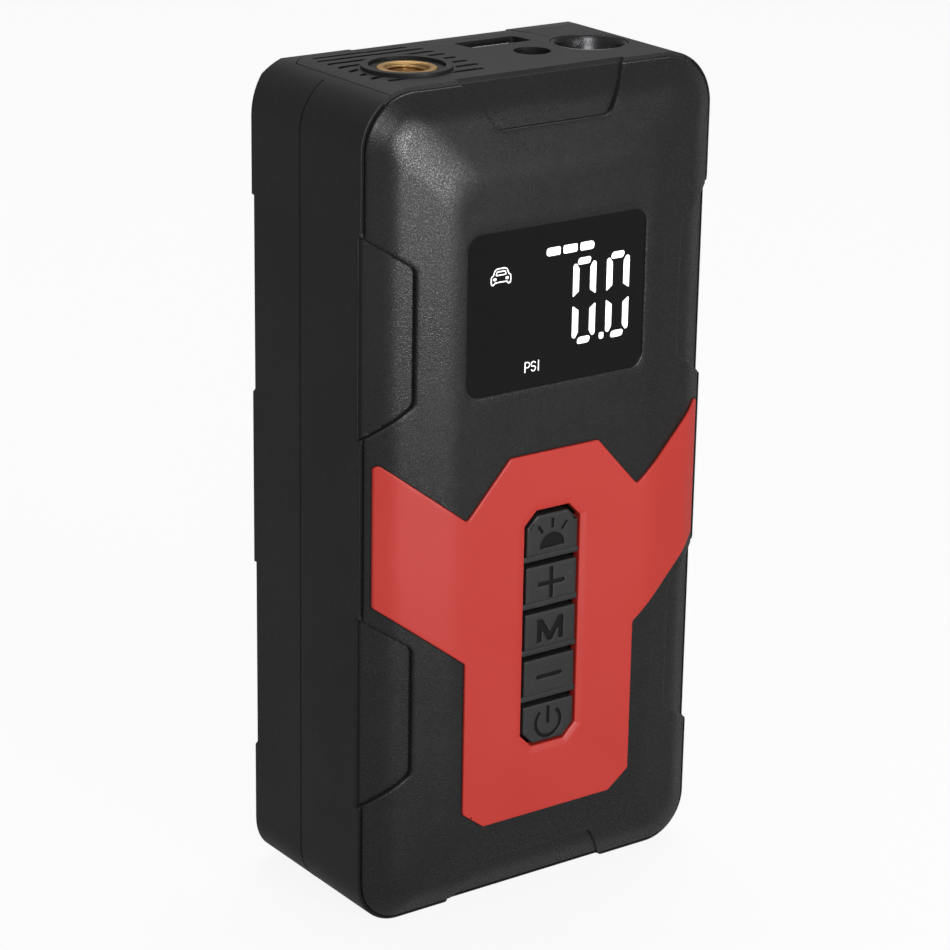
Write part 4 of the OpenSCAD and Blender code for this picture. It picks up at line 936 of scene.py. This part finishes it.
def mode_mark(z, w):
    """A capital M that is x wide on each side, with legs k wide."""
    low, h, x, k, c = z - 2.65, 5.3, 3.5, w*1.35, 0.22
    half = [(0.62, low, 0.12), (x - k, low + 3.1, c), (x - k, low, 0.12), (x, low, 0.12), (x, low + h, 0.12),
            (x - k*1.1, low + h, 0.12), (0.0, low + 1.75, 0.16)]
    return [smooth_loop(half + [(-a, b, r) for a, b, r in reversed(half[:-1])], 0.6)]


def minus_mark(z, w):
    """A short bar."""
    return [smooth_loop(box_corners(-3.4, 3.4, z - w/2, z + w/2, 0.3), 0.6)]


def power_mark(z, w):
    """A ring that is open at its top, with an upright in the opening."""
    ring = stroke_loop(arc(0.0, z - 0.5, 3.3, 130, 410, 44), w*0.85)
    return [ring, stroke_loop([(0.0, z - 0.8), (0.0, z + 3.3)], w*0.9)]


# from the lowest key to the highest; each mark is centred on x = 0 and on the height z, in lines of width w
KEYS = {"power": power_mark, "minus": minus_mark, "mode": mode_mark, "plus": plus_mark, "light": sun_mark}


class PACK_OT_keys(bpy.types.Operator):
    """Makes the five keys with their ledges and sunk marks, each on its own sliding body"""
    bl_idname = "pack.keys"
    bl_label = "Keys"

    def execute(self, context):
        keys = context.scene.pack_keys
        thick, sink, overlap = 2.8, 0.02, 0.05
        for name, mark in KEYS.items():
            low, high = node_box(name + "_key")
            body, top, z0, z1 = name + "_button", low[1] - keys.lift, low[2], high[2]
            lowest, highest = name == "power", name == "light"
            foot = 0.35 if lowest else keys.ledge_h
            face = self.outline(keys.face_gap, z0 + foot, z1, lowest, highest)
            middle = z0 + 5.1 if lowest else z0 + 5.0 if highest else (z0 + 0.95 + z1)/2
            marks = mark(middle, keys.mark_stroke)
            floor = top + keys.mark_depth
            parts = [plate(face, marks, level(top), level(floor + overlap), keys.cap_r, keys.mark_edge,
                           scatter((-8, z0), (8, z1), 0.9)),
                     slab(face, floor + sink, top + thick)]
            if not lowest:
                ledge = self.outline(keys.gap, z0, z0 + keys.ledge_h + 0.1, False, False)
                parts.append(plate(ledge, [], level(top + keys.ledge_set), level(top + thick), 0.15))
            make_piece(name + "_key_cap", parts, body, "key_plastic", name + "_key", sharp=32)
            sunk = [slab(drawn_in(anticlockwise(m), -overlap), floor - sink, floor + 0.1) for m in marks]
            make_piece(name + "_key_mark", sunk, body, "black_plastic")
        return {"FINISHED"}

    def outline(self, gap, z0, z1, cut_low, cut_high):
        """A key's outline, gap inside the slot: a rectangle whose outer corners are cut off on the end keys."""
        half = key_corners(SLOT_HALF - gap, SLOT_CUT - gap*CUT_SHARE, z0, z1, 0.4, cut_low, cut_high)
        return smooth_loop(mirrored(half), 0.5)


# ---------------------------------------------------------------- shells, end panel and sockets

class PACK_OT_shells(bpy.types.Operator):
    """Rounds the edges of both shells and of the end panel, and lays a near-black strip along the seam between the
    shells, painted shade of its groove
    """
    bl_idname = "pack.shells"
    bl_label = "Shells"

    def execute(self, context):
        case, top = context.scene.pack_case, context.scene.pack_top
        for node in ("front_shell", "rear_shell"):
            cad_copy(node, node + "_moulded", "case", "shell_plastic", top.shell_edge, angle=32.0)
        # painted shade: a near-black strip a little proud of the shells, along the seam's groove
        y, band = node_box("rear_shell")[1][1] - case.seam_back, 0.06
        made = slab(stroke_loop(case_path(), band), y - case.seam_w/2, y + case.seam_w/2)
        make_piece("shell_seam", [made], "case", "black_plastic")
        cad_copy("top_panel", "end_panel_moulded", "case", "panel_plastic", top.panel_edge)
        return {"FINISHED"}


class PACK_OT_air_outlet(bpy.types.Operator):
    """Makes the brass air outlet: its outside, then its bore, whose thread is a ridge that falls by one pitch a turn"""
    bl_idname = "pack.air_outlet"
    bl_label = "Air outlet"

    def execute(self, context):
        top = context.scene.pack_top
        low, high = node_box("air_outlet")
        x, y = (low[0] + high[0])/2, (low[1] + high[1])/2
        reach, flange, peak, foot = 6.4, (high[0] - low[0])/2, high[2], low[2]
        bore, depth, hole, stem, stem_h = 4.1, 9.0, 1.0, 2.05, 4.0
        step = peak - 8.7
        outside = [(hole, foot), (stem, foot), (stem, foot + stem_h), (flange - 0.2, foot + stem_h),
                   (flange, foot + stem_h + 0.2), (flange, step - 0.2), (flange - 0.2, step), (reach, step),
                   (reach, peak - 0.3), (reach - 0.12, peak - 0.1), (reach - 0.4, peak), (bore + 0.95, peak),
                   (bore + 0.8, peak - 0.08), (bore + 0.62, peak - 0.3)]
        rows, turns, fade_rows, start = 132, 72, 6, 0.35
        s = np.linspace(0, 1, rows)[:, None]
        a = np.linspace(0, 2*math.pi, turns, endpoint=False)[None]
        z = peak - start - s*(depth - start)
        turn = z/top.thread_pitch - a/(2*math.pi)
        ridge = np.abs((turn % 1.0)*2 - 1)
        fade = np.clip(s*rows/fade_rows, 0, 1)*np.clip((1 - s)*rows/fade_rows, 0, 1)
        r = bore + 0.55 - fade*top.thread_depth*(1 - ridge)
        body = spun(*np.array(outside).T[:, :, None], x, y, turns)
        points = np.concatenate([body, spun(r, z, x, y, turns), spun(np.array([[hole]]), peak - depth, x, y, turns)])
        faces = grid_faces(len(outside) + rows + 1, turns, True)
        make_piece("air_outlet_thread", [(points, faces)], "case", "brass", "air_outlet", sharp=40)
        return {"FINISHED"}


FITTINGS = (
    ("usb_socket", "nickel", 0.12), ("usb_tongue", "module_white", 0.12), ("dc_socket", "black_plastic", 0.15),
    ("dc_pin", "nickel", 0.1), ("torch_reflector", "reflector", 0.08), ("torch_lens", "lens_clear", 0.08),
    ("torch_led", "led_yellow", 0.08),
)


class PACK_OT_fittings(bpy.types.Operator):
    """Rounds the sockets and the torch in the end panel, and the rubber flap over the jump lead socket"""
    bl_idname = "pack.fittings"
    bl_label = "Fittings"

    def execute(self, context):
        for node, slot, edge in FITTINGS:
            cad_copy(node, node + "_finished", "case", slot, edge)
        edge = context.scene.pack_top.flap_edge
        cad_copy("socket_cover", "socket_cover_moulded", "flap", "rubber_black", edge, segments=3)
        return {"FINISHED"}


class PACK_OT_inside(bpy.types.Operator):
    """Gives every part its own finish, also those that later steps replace by finished pieces"""
    bl_idname = "pack.inside"
    bl_label = "Inside parts"

    def execute(self, context):
        for part in frame["record"]["subparts"]:
            node = frame["nodes"][part["node"]]
            finish = finish_for(part["material_slot"])
            if node.material_slots:
                for slot in node.material_slots:
                    slot.material = finish
            else:
                node.data.materials.append(finish)
        return {"FINISHED"}


# ---------------------------------------------------------------- stage

RAYS = ("Is Camera Ray", "Is Glossy Ray", "Is Transmission Ray")
LAMPS = {
    "front_light": ((0.1, -0.84, 0.19), (0.0, 0.0, 0.15), 0.2, 0.3, 4.2),
    "high_light": ((-0.75, -1.15, 0.9), (0.0, 0.0, 0.1), 0.6, 0.6, 8.0),
    "top_light": ((0.35, 0.5, 1.6), (0.0, 0.0, 0.1), 1.2, 1.2, 14.0),
}


class PACK_OT_stage(bpy.types.Operator):
    """Sets up the camera, the pale floor and the soft lights"""
    bl_idname = "pack.stage"
    bl_label = "Stage"

    def execute(self, context):
        stage = context.scene.pack_stage
        turn, rise, roll = stage.turn, stage.rise, stage.roll
        ahead = Vector((math.sin(turn)*math.cos(rise), math.cos(turn)*math.cos(rise), -math.sin(rise)))
        right = Vector((math.cos(turn), -math.sin(turn), 0.0))
        up = right.cross(ahead)
        side = right*math.cos(roll) + up*math.sin(roll)
        rise_axis = up*math.cos(roll) - right*math.sin(roll)
        view = Matrix((side, rise_axis, -ahead)).transposed().to_4x4()
        camera = bpy.data.cameras.new("camera")
        camera.lens, camera.sensor_width, camera.clip_start, camera.clip_end = stage.lens, 36.0, 0.01, 50.0
        holder = bpy.data.objects.new("camera", camera)
        holder.matrix_world = Matrix.Translation(stage.place) @ view
        context.scene.collection.objects.link(holder)
        context.scene.camera = holder
        for name, lamp in LAMPS.items():
            self.lamp(context, name, *lamp)
        self.floor(context)
        context.scene.view_settings.view_transform = "Standard"
        return {"FINISHED"}

    def lamp(self, context, name, place, target, wide, high, power):
        """A soft rectangular lamp that looks from place to target, in metres."""
        light = bpy.data.lights.new(name, "AREA")
        light.shape, light.size, light.size_y, light.energy = "RECTANGLE", wide, high, power
        lamp = bpy.data.objects.new(name, light)
        lamp.location = place
        lamp.rotation_euler = (Vector(target) - Vector(place)).to_track_quat("-Z", "Y").to_euler()
        context.scene.collection.objects.link(lamp)

    def floor(self, context):
        """A wide pale floor and a white room; both show plain white to the camera, with a faint shadow on the floor."""
        half, low = 6.0, -0.1*MM
        sheet = bpy.data.meshes.new("floor")
        sheet.from_pydata([(x, y, low) for x, y in ((-half, -half), (half, -half), (half, half), (-half, half))],
                          [], [(0, 1, 2, 3)])
        floor = bpy.data.objects.new("floor", sheet)
        context.scene.collection.objects.link(floor)
        gloss, fill = context.scene.pack_stage.gloss_level, context.scene.pack_stage.fill_level
        f = Finish("finish_floor")
        f.set(Base_Color=(0.9, 0.9, 0.9), Roughness=0.9, Specular_IOR_Level=0.1)
        seen, glossy, through = (f.node("ShaderNodeLightPath", {}, {}, ray) for ray in RAYS)
        tone = f.mix(glossy, (1.0, 1.0, 1.0), (gloss, gloss, gloss))
        white = f.node("ShaderNodeEmission", {}, {"Color": tone, "Strength": 1.0})
        share = seen.math("MAXIMUM", seen*0.9, glossy)
        share = seen.math("MAXIMUM", share, through*0.9)
        mixed = f.node("ShaderNodeMixShader", {}, {0: share, 1: Value(f, f.shader.outputs[0]), 2: white})
        f.tree.links.new(mixed.socket, f.tree.nodes["Material Output"].inputs[0])
        sheet.materials.append(f.material)
        world = bpy.data.worlds.new("room")
        context.scene.world = world
        world.use_nodes = True
        tree = world.node_tree
        back = tree.nodes["Background"]
        back.inputs[0].default_value = (1.0, 1.0, 1.0, 1.0)
        path = tree.nodes.new("ShaderNodeLightPath")
        strength = None
        for ray, full in zip(RAYS, (1.0, gloss, 1.0)):
            step = tree.nodes.new("ShaderNodeMix")
            step.inputs["B"].default_value = full
            tree.links.new(path.outputs[ray], step.inputs["Factor"])
            if strength is None:
                step.inputs["A"].default_value = fill
            else:
                tree.links.new(strength, step.inputs["A"])
            strength = step.outputs["Result"]
        tree.links.new(strength, back.inputs[1])


# ---------------------------------------------------------------- add-on

class PACK_PT_sidebar(bpy.types.Panel):
    """Shows the pack's settings and a button for each step"""
    bl_idname = "PACK_PT_sidebar"
    bl_label = "Jump Pack"
    bl_space_type = "VIEW_3D"
    bl_region_type = "UI"
    bl_category = "Jump Pack"

    def draw(self, context):
        for group in GROUPS:
            settings = getattr(context.scene, group)
            box = self.layout.box()
            for key in settings.__annotations__:
                box.prop(settings, key)
        for step in OPERATORS:
            self.layout.operator(step.bl_idname)


GROUPS = {"pack_case": PackCase, "pack_panel": PackPanel, "pack_keys": PackKeys, "pack_display": PackDisplay,
          "pack_top": PackTop, "pack_finish": PackFinish, "pack_stage": PackStage}
OPERATORS = (
    PACK_OT_stage, PACK_OT_inside, PACK_OT_front_cover, PACK_OT_accent_panel, PACK_OT_display, PACK_OT_keys,
    PACK_OT_shells, PACK_OT_air_outlet, PACK_OT_fittings,
)


def register():
    for kind in (*GROUPS.values(), *OPERATORS, PACK_PT_sidebar):
        bpy.utils.register_class(kind)
    for name, kind in GROUPS.items():
        setattr(bpy.types.Scene, name, PointerProperty(type=kind))


def unregister():
    for name in GROUPS:
        delattr(bpy.types.Scene, name)
    for kind in reversed((*GROUPS.values(), *OPERATORS, PACK_PT_sidebar)):
        bpy.utils.unregister_class(kind)


def main():
    register()
    for step in OPERATORS:
        group, name = step.bl_idname.split(".")
        getattr(getattr(bpy.ops, group), name)()


if __name__ == "__main__":
    main()
